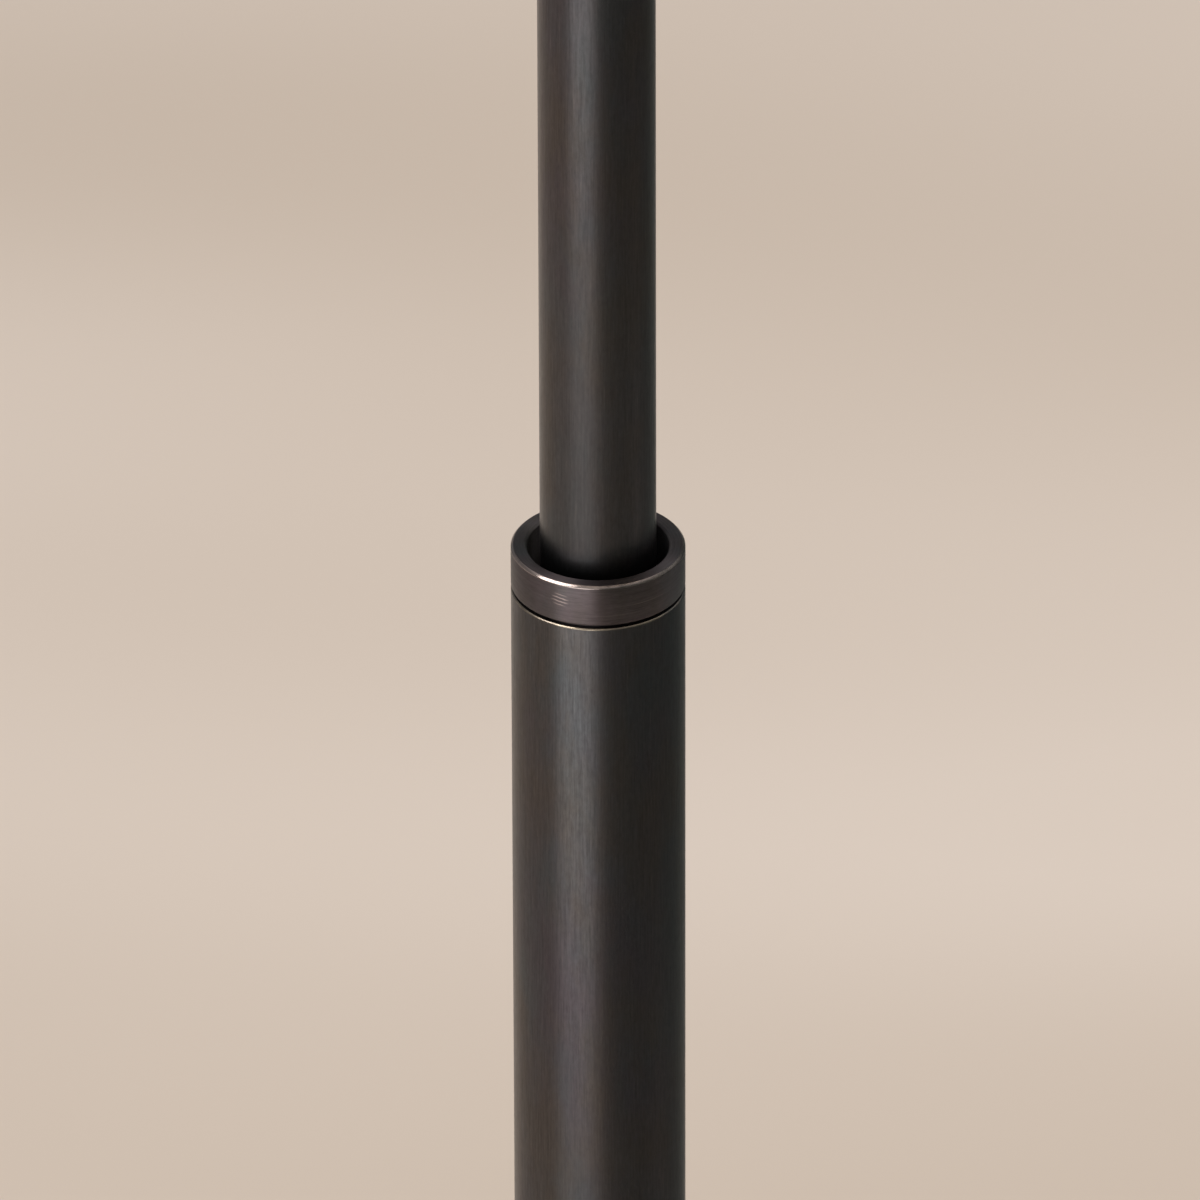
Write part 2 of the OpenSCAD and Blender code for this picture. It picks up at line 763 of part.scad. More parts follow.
// The two ferrules that lock the harp to its pegs
module harp_ferrules() {
    color("#6b6252")
        for (side = [-1, 1])
            translate([side * saddle_w / 2, 0, 0])
                tube(ferrule_bore + 2 * ferrule_wall, ferrule_bore, saddle_z + saddle_leg_h,
                    ferrule_h);
}

// The lampholder's cap, a drawn dome on a threaded hub
module holder_cap() {
    r = holder_d / 2;
    hub_r = hub_d / 2;
    bore_r = nipple_d / 2 + seat_clear;
    dome_z = holder_z + hub_h + dome_r;
    color("#5a4a36")
        rotate_extrude()
            polygon(concat([[bore_r, holder_z], [hub_r, holder_z]],
                arc(hub_r, dome_z, dome_r, 270, 360),
                [[r, holder_z + holder_cap_h], [r - holder_wall, holder_z + holder_cap_h]],
                arc(hub_r, dome_z, dome_r - holder_wall, 360, 270),
                [[bore_r, holder_z + hub_h + holder_wall]]));
}

// The hole of the switch shaft through a wall of the lampholder
module shaft_hole(d) {
    translate([0, 0, holder_z + knob_z])
        rotate([90, 0, 0]) cylinder(d = d, h = holder_d);
}

// The lampholder's shell, curled in at its top edge
module holder_shell() {
    low = holder_z + holder_cap_h - shell_in;
    top = holder_z + holder_h;
    color("#5a4a36")
        difference() {
            rotate_extrude()
                polygon([[shell_r - holder_wall, low], [shell_r, low], [shell_r, top - shell_curl],
                    [shell_r - shell_curl, top], [shell_r - 2 * shell_curl, top],
                    [shell_r - 2 * shell_curl, top - holder_wall],
                    [shell_r - shell_curl, top - holder_wall],
                    [shell_r - holder_wall, top - shell_curl]]);
            shaft_hole(shaft_d + 2 * shaft_hole_clear);
        }
}

// The insulating liner inside the shell
module holder_liner() {
    low = holder_z + holder_cap_h - shell_in;
    color("#b79a6b")
        difference() {
            tube(2 * holder_liner_r, 2 * holder_liner_r - 2 * liner_wall, low,
                holder_z + holder_h - 2 * shell_curl - low);
            shaft_hole(shaft_d + 2 * shaft_hole_clear);
        }
}

// The moulded switch block, with a bore for the shaft and two pockets for the terminals
module switch_block() {
    low = holder_z + block_z;
    pocket_w = terminal_d + 2 * pocket_clear;
    color("#e9e4d6")
        difference() {
            translate([0, 0, low]) cylinder(r = block_r, h = block_h);
            translate([0, 0, holder_z + knob_z])
                rotate([90, 0, 0]) cylinder(d = shaft_d + 2 * run_clear, h = holder_d);
            for (side = [-1, 1])
                translate([side * (block_r - terminal_t), 0, low + block_h / 2])
                    rotate([0, side * 90, 0]) {
                        translate([-pocket_w / 2, -pocket_w / 2, 0])
                            cube([pocket_w, pocket_w, holder_d]);
                        translate([0, 0, -terminal_shank_l])
                            cylinder(d = terminal_shank_d + 2 * seat_clear, h = holder_d);
                    }
        }
}

// The two terminal screws in the sides of the block
module terminal_screws() {
    color("#c2a14f")
        for (side = [-1, 1])
            translate([side * (block_r - terminal_t), 0, holder_z + block_z + block_h / 2])
                rotate([0, side * 90, 0]) {
                    cylinder(d = terminal_d, h = terminal_t - pocket_clear);
                    translate([0, 0, -terminal_shank_l])
                        cylinder(d = terminal_shank_d, h = terminal_shank_l + terminal_t / 2);
                }
}

// The screw shell that takes the bulb, riveted on the block
module screw_shell() {
    top = holder_z + holder_h - screw_shell_down;
    hole_r = contact_d / 2 + contact_gap;
    color("#c9b37a")
        rotate_extrude()
            polygon([[hole_r, block_top], [screw_shell_d / 2, block_top],
                [screw_shell_d / 2, top], [screw_shell_d / 2 - screw_shell_wall, top],
                [screw_shell_d / 2 - screw_shell_wall, block_top + screw_shell_wall],
                [hole_r, block_top + screw_shell_wall]]);
}

// The sprung centre contact
module centre_contact() {
    color("#c2a14f")
        translate([0, 0, block_top])
            cylinder(d1 = contact_d, d2 = contact_d / 2, h = contact_h);
}

// The shaft that turns the switch
module switch_shaft() {
    color("#a39a86")
        translate([0, -block_r + shaft_in, holder_z + knob_z])
            rotate([90, 0, 0])
                cylinder(d = shaft_d, h = knob_y + knob_l - knob_wall - block_r + shaft_in);
}

// The fluted knob at the front of the lampholder
module switch_knob() {
    flute_d = knob_d * PI / flute_count / 2;
    color("#2a2421")
        translate([0, -knob_y, holder_z + knob_z])
            rotate([90, 0, 0])
                difference() {
                    union() {
                        cylinder(d = knob_d, h = knob_l - knob_edge);
                        translate([0, 0, knob_l - knob_edge])
                            cylinder(d1 = knob_d, d2 = knob_d - 2 * knob_edge, h = knob_edge);
                    }
                    for (i = [0 : flute_count - 1])
                        rotate([0, 0, (i + 0.5) * 360 / flute_count])
                            translate([knob_d / 2, 0, -over])
                                cylinder(d = flute_d, h = knob_l + 2 * over, $fn = 16);
                    translate([0, 0, -over])
                        cylinder(d = shaft_d + 2 * seat_clear, h = knob_l - knob_wall + over);
                }
}

// The bulb's metal cap, with its insulator cone and contact
module bulb_cap() {
    r = bulb_cap_d / 2;
    cone_z = bulb_z + bulb_tip_h + bulb_cone_h;
    top = bulb_z + bulb_cap_h;
    color("#c8c6c0")
        rotate_extrude()
            polygon([[0, bulb_z], [bulb_tip_d / 2 - bulb_tip_h, bulb_z],
                [bulb_tip_d / 2, bulb_z + bulb_tip_h], [r, cone_z], [r, top],
                [r - bulb_cap_t, top], [r - bulb_cap_t, cone_z], [0, cone_z]]);
}

// Half outline of the bulb's glass, drawn in by t all round
function glass_outline(t) =
    let (cap_top = bulb_z + bulb_cap_h, r = bulb_d / 2 - t,
        lean = asin((bulb_d / 2 - neck_r) / (globe_z - cap_top)))
    concat([[0, cap_top - neck_in - (t > 0 ? over : 0)],
            [neck_r - t, cap_top - neck_in - (t > 0 ? over : 0)], [neck_r - t, cap_top]],
        arc(0, globe_z, r, -lean, 90, 2 * arc_steps));

// The glass of the bulb, open at the neck inside the cap
module bulb_glass() {
    color("#f4f1ea")
        difference() {
            rotate_extrude() polygon(glass_outline(0));
            rotate_extrude() polygon(glass_outline(glass_t));
        }
}

// One arm of the spider, round the middle of the hub: level, then bent up to the ring
module spider_arm() {
    start_r = spider_hub_d / 2 - arm_wire;
    end_r = ring_r(ring_z);
    translate([start_r, 0, 0])
        rotate([0, 90, 0])
            cylinder(d = arm_wire, h = end_r - arm_bend_r - start_r, $fn = 32);
    wire_bend(end_r - arm_bend_r, arm_bend_r, arm_bend_r, -90, 90, arm_wire);
    translate([end_r, 0, arm_bend_r])
        cylinder(d = arm_wire, h = spider_drop - arm_bend_r, $fn = 32);
}

// The spider that hangs the shade on the harp's stud
module shade_spider() {
    color("#8c8577")
        translate([0, 0, ring_z - spider_drop])
            difference() {
                union() {
                    translate([0, 0, -spider_hub_t / 2])
                        cylinder(d = spider_hub_d, h = spider_hub_t);
                    for (i = [0 : arm_count - 1])
                        rotate([0, 0, arm_turn + i * 360 / arm_count]) spider_arm();
                }
                translate([0, 0, -spider_hub_t])
                    cylinder(d = stud_d + 2 * hole_clear, h = 2 * spider_hub_t);
                translate([0, 0, spider_drop])
                    rotate_extrude()
                        translate([ring_r(ring_z), 0])
                            circle(d = ring_wire + 2 * seat_clear, $fn = 32);
            }
}

// A wire ring inside the shade at height z
module shade_ring(z) {
    translate([0, 0, z])
        rotate_extrude() translate([ring_r(z), 0]) circle(d = ring_wire, $fn = 32);
}

// The ring in the shade's top edge, to which the spider is welded
module shade_top_ring() {
    color("#8c8577") shade_ring(ring_z);
}

// The ring in the shade's bottom edge
module shade_bottom_ring() {
    color("#8c8577") shade_ring(bottom_ring_z);
}

// A layer of the shade from depth d, t thick, between heights z0 and z1
module shade_layer(d, t, z0, z1) {
    rotate_extrude()
        polygon([[shade_r(z0) - d - t, z0], [shade_r(z0) - d, z0], [shade_r(z1) - d, z1],
            [shade_r(z1) - d - t, z1]]);
}

// The stiff white liner of the shade
module shade_liner() {
    color("#f2eee4") shade_layer(skin_t + glue_t, liner_t, shade_z, shade_top_z);
}

// The linen on the outside of the shade
module shade_skin() {
    color("#d8cdb8") shade_layer(0, skin_t, shade_z, shade_top_z);
}

// A trim that binds an edge of the shade: a band outside, and a lip over the edge
module shade_trim(edge, way) {
    depth = skin_t + glue_t + liner_t;
    band = edge - way * trim_h;
    lip = edge + way * trim_gap;
    tip = lip + way * trim_t;
    rotate_extrude()
        polygon([[shade_r(band) + trim_gap, band], [shade_r(band) + trim_gap + trim_t, band],
            [shade_r(tip) + trim_gap + trim_t, tip], [shade_r(tip) - depth, tip],
            [shade_r(lip) - depth, lip], [shade_r(lip) + trim_gap, lip]]);
}

// The linen tape over the top edge
module shade_top_trim() {
    color("#cfc3ac") shade_trim(shade_top_z, 1);
}

// The linen tape under the bottom edge
module shade_bottom_trim() {
    color("#cfc3ac") shade_trim(shade_z, -1);
}

// The turned finial that screws down on the spider
module finial() {
    z = spider_z + spider_hub_t;
    foot_r = finial_foot_d / 2;
    ball_r = finial_d / 2;
    waist_r = stud_d / 2 + finial_wall;
    ball_z = z + finial_h - ball_r;
    low_angle = -acos(waist_r / ball_r);
    color("#5a4a36")
        difference() {
            rotate_extrude()
                polygon(concat([[0, z], [foot_r, z], [foot_r, z + finial_foot_t],
                        [waist_r, z + finial_foot_t + finial_cone_h]],
                    arc(0, ball_z, ball_r, low_angle, 90, 2 * arc_steps)));
            translate([0, 0, z - over])
                cylinder(d = stud_d + 2 * seat_clear, h = stud_h + over);
        }
}

base_pad();
base_weight();
base_cover();
cord_grommet();
base_washer();
base_nut();
base_nipple();
stem_seat();
stem_plug();
outer_tube();
collar();
guide_bush();
friction_sleeve();
friction_rings();
inner_tube();
shoulder_ring();
foot_ring();
wire_bush();
mast_cap();
mast_nipple();
harp_saddle();
harp();
harp_ferrules();
holder_cap();
holder_shell();
holder_liner();
switch_block();
terminal_screws();
screw_shell();
centre_contact();
switch_shaft();
switch_knob();
bulb_cap();
bulb_glass();
shade_spider();
shade_top_ring();
shade_bottom_ring();
shade_liner();
shade_skin();
shade_top_trim();
shade_bottom_trim();
finial();
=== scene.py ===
"""Telescopic floor lamp in dark bronze with a linen drum shade.

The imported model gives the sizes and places, and each section gives one group of pieces its form
and finish. Lengths are in millimetres, and MM turns them into metres.
"""

import math

import bpy
from mathutils import Matrix, Vector


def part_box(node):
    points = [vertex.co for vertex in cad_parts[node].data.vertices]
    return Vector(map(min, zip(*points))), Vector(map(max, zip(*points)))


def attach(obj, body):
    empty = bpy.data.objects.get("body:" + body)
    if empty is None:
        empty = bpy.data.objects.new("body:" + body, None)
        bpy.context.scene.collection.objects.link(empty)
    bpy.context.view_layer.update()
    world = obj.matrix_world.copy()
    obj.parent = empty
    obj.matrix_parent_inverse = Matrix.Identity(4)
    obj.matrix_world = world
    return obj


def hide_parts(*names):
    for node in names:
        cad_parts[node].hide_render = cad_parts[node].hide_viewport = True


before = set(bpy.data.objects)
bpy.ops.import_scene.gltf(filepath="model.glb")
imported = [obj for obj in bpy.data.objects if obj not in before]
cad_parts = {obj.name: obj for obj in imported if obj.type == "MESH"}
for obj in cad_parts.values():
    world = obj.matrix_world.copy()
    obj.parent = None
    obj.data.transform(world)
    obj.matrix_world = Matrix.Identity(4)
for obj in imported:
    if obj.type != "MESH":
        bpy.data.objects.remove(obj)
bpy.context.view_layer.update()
MM = 0.001

# The photograph's view
# A close-up of the telescopic joint, from in front and above, through a long lens. The middle
# of the collar's upper face lies at COLLAR_PX in a picture of PICTURE_PX pixels.
PICTURE_PX = 1200
COLLAR_PX = (598.2, 543.3)
SENSOR = 36
LENS = 495
VIEW_DISTANCE = 1800
VIEW_TILT = math.radians(30.3)
VIEW_ROLL = math.radians(-0.17)

px_per_mm = PICTURE_PX * LENS / SENSOR / VIEW_DISTANCE
collar_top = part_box("collar")[1].z / MM
off_middle = [(PICTURE_PX / 2 - px) / px_per_mm for px in COLLAR_PX]
aim = Vector((off_middle[0], 0, collar_top - off_middle[1] / math.cos(VIEW_TILT)))
towards_view = Vector((0, -math.cos(VIEW_TILT), math.sin(VIEW_TILT)))
bpy.ops.object.camera_add(location=(aim + VIEW_DISTANCE * towards_view) * MM)
camera = bpy.context.object
camera.name = "photo_view"
camera.rotation_euler = (Matrix.Rotation(math.pi / 2 - VIEW_TILT, 3, "X")
    @ Matrix.Rotation(VIEW_ROLL, 3, "Z")).to_euler()
camera.data.sensor_width = SENSOR
camera.data.lens = LENS
bpy.context.scene.camera = camera
bpy.context.scene.view_settings.view_transform = "Standard"

# The studio
# A pale floor that runs out of sight, with soft shadows painted on it near the lamp, a large soft
# light high on the left, a tall one beside the camera and a weak one behind. Two grey screens on
# the right, which only reflections show, keep that side of the metal dark.
FLOOR_SIZE = 60000
FLOOR_COLOUR = "#dfd4ca"
# Soft darker bands painted on the floor near the lamp stand for shadows.
FLOOR_PAINTED_SHADOW = "#cfc2b5"
FLOOR_SHADOW_SIZE = (600, 230)
FLOOR_SHADOW_TURN = 0.35
FLOOR_SHADOW_AT = (1.79, 0.2, 0.8)
FLOOR_PLAIN = (1700, 2600)
WALLS_LEVEL = 0.42
CORNICE_LEVEL = 0.22
CORNICE_UP = (0.2, 0.45)
CEILING_LEVEL = 0.8
CEILING_UP = (0.5, 0.9)
AIR_COLOUR = "#fffaf6"
KEY_LIGHT = {"at": (-1560, -560, 2650), "size": (1300, 1300), "watts": 46, "colour": "#fff8f2"}
SIDE_LIGHT = {"at": (-460, -830, 800), "size": (800, 900), "watts": 5.1, "colour": "#fcfcf8"}
BACK_LIGHT = {"at": (2200, 1200, 2500), "size": (1600, 1200), "watts": 26, "colour": "#fffaf4"}
SCREEN_AWAY = 1000
SCREEN_HIGH = 2000
SCREENS = {"front_screen": (47, 1930), "side_screen": (125, 1450)}
SCREEN_GREY = "#757c7a"


def linear(colour):
    """An sRGB colour written in hex, as linear light."""
    parts = [int(colour[i:i + 2], 16) / 255 for i in (1, 3, 5)]
    return [c / 12.92 if c <= 0.04045 else ((c + 0.055) / 1.055) ** 2.4 for c in parts] + [1]


def link(tree, source, socket):
    """Links an output to an input. A node as the source stands for its first output."""
    output = source.outputs[0] if isinstance(source, bpy.types.Node) else source
    tree.links.new(output, socket)


def add(tree, kind, inputs=None, **settings):
    """Adds a shader node with its settings, and links or sets its inputs."""
    node = tree.nodes.new("ShaderNode" + kind)
    for name, value in settings.items():
        setattr(node, name, value)
    for name, value in (inputs or {}).items():
        if isinstance(value, (bpy.types.Node, bpy.types.NodeSocket)):
            link(tree, value, node.inputs[name])
        else:
            node.inputs[name].default_value = value
    return node


def material_of(name, colour, roughness, metallic=0, **sockets):
    """A new material: returns it, its nodes and its shader's inputs."""
    material = bpy.data.materials.new(name)
    material.use_nodes = True
    shader = material.node_tree.nodes["Principled BSDF"].inputs
    shader["Base Color"].default_value = linear(colour)
    shader["Roughness"].default_value = roughness
    shader["Metallic"].default_value = metallic
    for socket, value in sockets.items():
        shader[socket.replace("_", " ")].default_value = value
    return material, material.node_tree, shader


def aimed(spot, target):
    """The turn that points a lamp's or screen's back-to-front axis from spot at target."""
    return (Vector(target) - Vector(spot)).to_track_quat("-Z", "Y").to_euler()


def soft_light(name, light):
    """A rectangular soft light that faces the collar and isn't itself in the picture."""
    bpy.ops.object.light_add(type="AREA", location=Vector(light["at"]) * MM,
        rotation=aimed(light["at"], (0, 0, collar_top)))
    lamp = bpy.context.object
    lamp.name = name
    lamp.data.shape = "RECTANGLE"
    lamp.data.size, lamp.data.size_y = [side * MM for side in light["size"]]
    lamp.data.energy = light["watts"]
    lamp.data.color = linear(light["colour"])[:3]
    lamp.visible_camera = False


soft_light("key_light", KEY_LIGHT)
soft_light("side_light", SIDE_LIGHT)
soft_light("back_light", BACK_LIGHT)

bpy.ops.mesh.primitive_plane_add(size=FLOOR_SIZE * MM, location=(0, 0, 0))
floor = bpy.context.object
floor.name = "floor"
# Matt floor paint: pale and warm, with broad faint painted shadows that fade into a plain far floor.
paint, tree, shader = material_of("pale_floor_painted_shadows", FLOOR_COLOUR, 0.7)
place = add(tree, "TexCoord").outputs["Object"]
drawn = add(tree, "Mapping", {"Vector": place, "Rotation": (0, 0, FLOOR_SHADOW_TURN),
    "Location": FLOOR_SHADOW_AT,
    "Scale": (1 / (FLOOR_SHADOW_SIZE[0] * MM), 1 / (FLOOR_SHADOW_SIZE[1] * MM), 1)})
shadow_noise = add(tree, "TexNoise", {"Vector": drawn, "Scale": 1.0, "Detail": 1.0})
shadow_bands = add(tree, "MapRange", {"Value": shadow_noise, "From Min": 0.35, "From Max": 0.7})
away = add(tree, "VectorMath", {0: place}, operation="LENGTH").outputs["Value"]
near = add(tree, "MapRange", {"Value": away, "From Min": FLOOR_PLAIN[1] * MM,
    "From Max": FLOOR_PLAIN[0] * MM})
share = add(tree, "Math", {0: shadow_bands, 1: near}, operation="MULTIPLY")
tint = add(tree, "MixRGB", {"Fac": share, "Color1": linear(FLOOR_COLOUR),
    "Color2": linear(FLOOR_PAINTED_SHADOW)})
link(tree, tint, shader["Base Color"])
floor.data.materials.append(paint)

# Grey velvet swallows most of the light, so the metal mirrors it as a soft dark band.
velvet = material_of("grey_velvet", SCREEN_GREY, 0.9)[0]
for name, (heading, width) in SCREENS.items():
    turn = math.radians(heading)
    at = (SCREEN_AWAY * math.sin(turn), -SCREEN_AWAY * math.cos(turn), SCREEN_HIGH / 2)
    bpy.ops.mesh.primitive_plane_add(size=1, location=Vector(at) * MM,
        rotation=aimed(at, (0, 0, SCREEN_HIGH / 2)))
    screen = bpy.context.object
    screen.name = name
    screen.scale = (width * MM, SCREEN_HIGH * MM, 1)
    screen.data.materials.append(velvet)
    screen.visible_camera = False
    screen.visible_diffuse = False
    screen.visible_shadow = False

world = bpy.data.worlds.new("studio_air")
bpy.context.scene.world = world
world.use_nodes = True
air = world.node_tree
way_up = add(air, "SeparateXYZ", {"Vector": add(air, "TexCoord").outputs["Generated"]})
walls = add(air, "MapRange", {"Value": way_up.outputs["Z"], "From Min": CORNICE_UP[0],
    "From Max": CORNICE_UP[1], "To Min": WALLS_LEVEL, "To Max": CORNICE_LEVEL})
ceiling = add(air, "MapRange", {"Value": way_up.outputs["Z"], "From Min": CEILING_UP[0],
    "From Max": CEILING_UP[1], "To Max": CEILING_LEVEL - CORNICE_LEVEL})
level = add(air, "Math", {0: walls, 1: ceiling}, operation="ADD")
back = air.nodes["Background"].inputs
back["Color"].default_value = linear(AIR_COLOUR)
link(air, level, back["Strength"])

# The felt pad
# A die-cut disc of pressed wool felt, glued under the casting so that it doesn't mark the floor.
# The die leaves its cut edge slightly soft.
PAD_EDGE = 0.7
FELT = "#2b2927"
FELT_LIGHT = "#55504a"
FELT_FIBRE = 1.8


def solid_of(node):
    """Outside radius, lowest and highest level of a round CAD piece on the stem's axis."""
    low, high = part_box(node)
    return max(-low.x, high.x, -low.y, high.y) / MM, low.z / MM, high.z / MM


def finished(piece, name, body, slot, material, *nodes):
    """Names a piece, gives it its material if it has none, and puts it on its body for its nodes."""
    piece.name = name
    piece.data.name = name
    if not piece.data.materials:
        piece.data.materials.append(material)
    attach(piece, body)
    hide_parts(*nodes)
    return piece


def chosen(piece):
    """Makes a piece the active one and the only one that is selected."""
    bpy.ops.object.select_all(action="DESELECT")
    bpy.context.view_layer.objects.active = piece
    piece.select_set(True)


def eased(piece, width, segments=3, angle=30):
    """Rounds a piece's sharp edges by width and smooths what is left under the angle."""
    chosen(piece)
    bpy.ops.object.modifier_add(type="BEVEL")
    bevel = piece.modifiers[-1]
    bevel.width = width * MM
    bevel.segments = segments
    bevel.limit_method = "ANGLE"
    bevel.angle_limit = math.radians(angle)
    bpy.ops.object.modifier_apply(modifier=bevel.name)
    bpy.ops.object.shade_smooth_by_angle(angle=math.radians(angle))


def bumps(tree, shader, height, depth):
    """Gives a shader the relief of a height pattern, depth mm from lowest to highest."""
    link(tree, add(tree, "Bump", {"Height": height, "Distance": depth * MM}), shader["Normal"])


def toned(tree, shader, pattern, colours, gloss=None, relief=0, between=None):
    """Lets one pattern set a shader's two colours, its range of roughness and its relief."""
    share = pattern
    if between:
        share = add(tree, "MapRange", {"Value": pattern, "From Min": between[0],
            "From Max": between[1]})
    tint = add(tree, "MixRGB", {"Fac": share, "Color1": linear(colours[0]),
        "Color2": linear(colours[1])})
    link(tree, tint, shader["Base Color"])
    if gloss:
        rough = add(tree, "MapRange", {"Value": pattern, "To Min": gloss[0], "To Max": gloss[1]})
        link(tree, rough, shader["Roughness"])
    if relief:
        bumps(tree, shader, pattern, relief)


def mottled(name, colours, rough, size, metallic=0, noise=None, gloss=None, relief=0,
        between=None, **sockets):
    """A material mottled in two colours by a noise with marks of a size in mm."""
    material, tree, shader = material_of(name, colours[0], rough, metallic, **sockets)
    place = add(tree, "TexCoord").outputs["Object"]
    pattern = add(tree, "TexNoise", {"Vector": place, "Scale": 1 / (size * MM), **(noise or {})})
    toned(tree, shader, pattern, colours, gloss, relief, between)
    return material


pad_r, pad_z, pad_top = solid_of("base_pad")
bpy.ops.mesh.primitive_cylinder_add(vertices=192, radius=pad_r * MM, depth=(pad_top - pad_z) * MM,
    location=(0, 0, (pad_top + pad_z) / 2 * MM))
pad = bpy.context.object
bpy.ops.object.transform_apply()
eased(pad, PAD_EDGE, 4)
# Pressed wool: a matt dark grey, hazy with lighter fibres that lie every way.
felt = mottled("wool_felt", (FELT, FELT_LIGHT), 0.95, FELT_FIBRE, relief=0.5, between=(0.38, 0.66),
    noise={"Detail": 8.0, "Roughness": 0.75, "Distortion": 1.6}, Sheen_Weight=0.35)
finished(pad, "felt_pad", "base", "felt", felt, "base_pad")

# The casting and its fixings
# A grey iron casting under thin black paint gives the base its weight. A zinc plated washer, a
# nut and a hollow nipple clamp the stem to it from below, so they show only on the bench.
IRON = "#37373a"
IRON_WORN = "#4d4a48"
SAND_GRAIN = 1.1
ZINC = "#9c9c98"
ZINC_DULL = "#7f7f7a"
ZINC_CLOUD = 3.5


def dress(material, *nodes):
    """Gives CAD pieces a material in place of their plain colour."""
    for name in nodes:
        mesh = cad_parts[name].data
        mesh.materials.clear()
        mesh.materials.append(material)


# Thin black paint on a sand casting: dull, pitted by the sand and worn grey on the high grains.
iron = mottled("painted_cast_iron", (IRON, IRON_WORN), 0.6, SAND_GRAIN, relief=0.25,
    noise={"Detail": 5.0, "Roughness": 0.65}, Specular_IOR_Level=0.4)
dress(iron, "base_weight")

# Zinc plate: a cool light grey that the bath has left brighter and duller in soft patches.
zinc = mottled("zinc_plated_steel", (ZINC, ZINC_DULL), 0.38, ZINC_CLOUD, 1,
    noise={"Detail": 4.0}, gloss=(0.28, 0.5))
dress(zinc, "base_washer", "base_nut", "base_nipple", "mast_nipple", "switch_shaft")

# The cover of the base
# One disc of steel, spun over a form to a rounded edge and a shallow crown, then finished in
# the dark bronze of the stem. The spinning tool leaves fine rings round the middle.
COVER_WALL = 1.2
COVER_EDGE_H = 20
COVER_EDGE_R = 6
LAND_R = 23
NIPPLE_HOLE_R = 5.2
CROWN_STEPS = 40
EDGE_STEPS = 14
COVER_LIP = 0.35
GROMMET_HOLE_R = 4.68
BRONZE = "#4b4a4c"
BRONZE_RED = "#575053"
BRONZE_CLOUDS = {"#4b464b": 19, "#464b4e": 12, "#4d4845": 8}
BRONZE_RUBBED = "#807971"
PATINA_SPECK = 0.35
TURNED_DEPTH = 0.016
BRUSHED_DEPTH = 0.006


def opened():
    """The piece just added, with its place applied and opened in edit mode by its vertices."""
    piece = bpy.context.object
    bpy.ops.object.transform_apply()
    bpy.ops.object.mode_set(mode="EDIT")
    bpy.ops.mesh.select_mode(type="VERT")
    return piece


def extruded(x, y, z):
    """Extrudes what is selected in edit mode by a step in mm."""
    bpy.ops.mesh.extrude_region_move(
        TRANSFORM_OT_translate={"value": (x * MM, y * MM, z * MM)})


def closed_up():
    """Merges vertices on one spot, turns the faces outwards and leaves edit mode."""
    bpy.ops.mesh.select_all(action="SELECT")
    bpy.ops.mesh.remove_doubles(threshold=1e-6)
    bpy.ops.mesh.normals_make_consistent(inside=False)
    bpy.ops.object.mode_set(mode="OBJECT")


def spun(outline, steps=192, angle=360, closed=True):
    """Turns an outline of (radius, height) points round the axis of the stem."""
    start = Vector((outline[0][0], 0, outline[0][1]))
    bpy.ops.mesh.primitive_plane_add(size=MM, location=start * MM)
    piece = opened()
    bpy.ops.mesh.merge(type="CENTER")
    ends = outline[1:] + outline[:1] if closed else outline[1:]
    for last, point in zip(outline, ends):
        extruded(point[0] - last[0], 0, point[1] - last[1])
    bpy.ops.mesh.select_all(action="SELECT")
    bpy.ops.mesh.remove_doubles(threshold=1e-6)
    bpy.ops.mesh.spin(steps=steps, angle=math.radians(angle), axis=(0, 0, 1), center=(0, 0, 0))
    closed_up()
    return piece


def arc(x, z, r, start, end, steps):
    """Points of an arc round (x, z) from one angle to another, in degrees."""
    turns = [math.radians(start + (end - start) * i / steps) for i in range(steps + 1)]
    return [(x + r * math.cos(t), z + r * math.sin(t)) for t in turns]


def cut_by_rod(piece, r, at, length, turn=(math.pi / 2, 0, 0)):
    """Cuts a round hole of radius r through a piece with a rod, which lies along Y as a rule."""
    bpy.ops.mesh.primitive_cylinder_add(vertices=64, radius=r * MM, depth=length * MM,
        location=Vector(at) * MM, rotation=turn)
    rod = bpy.context.object
    chosen(piece)
    bpy.ops.object.modifier_add(type="BOOLEAN")
    hole = piece.modifiers[-1]
    hole.object = rod
    hole.solver = "EXACT"
    bpy.ops.object.modifier_apply(modifier=hole.name)
    bpy.data.objects.remove(rod)


def lengthwise(tree, across, along):
    """Object coordinates stretched along the stem, for marks of that width and length."""
    place = add(tree, "TexCoord").outputs["Object"]
    scale = (1 / (across * MM), 1 / (across * MM), 1 / (along * MM))
    return add(tree, "Mapping", {"Vector": place, "Scale": scale})


def round_about(tree, across, along):
    """Coordinates for marks round the stem's axis, across mm wide and along mm long 10 mm out."""
    place = add(tree, "TexCoord").outputs["Object"]
    parts = add(tree, "SeparateXYZ", {"Vector": place}).outputs
    flat = add(tree, "VectorMath", {0: place, 1: (1, 1, 0)}, operation="MULTIPLY")
    radius = add(tree, "VectorMath", {0: flat}, operation="LENGTH").outputs["Value"]
    heading = add(tree, "VectorMath", {0: flat}, operation="NORMALIZE")
    turn = add(tree, "VectorMath", {0: heading, "Scale": 10 / along}, operation="SCALE")
    # Height and radius go in together, so that rings form on the sides and on the ends alike.
    both = add(tree, "Math", {0: parts["Z"], 1: 1.7, 2: radius}, operation="MULTIPLY_ADD")
    fine = add(tree, "Math", {0: both, 1: 1 / (across * MM)}, operation="MULTIPLY")
    up = add(tree, "CombineXYZ", {"Z": fine})
    return add(tree, "VectorMath", {0: turn, 1: up}, operation="ADD")


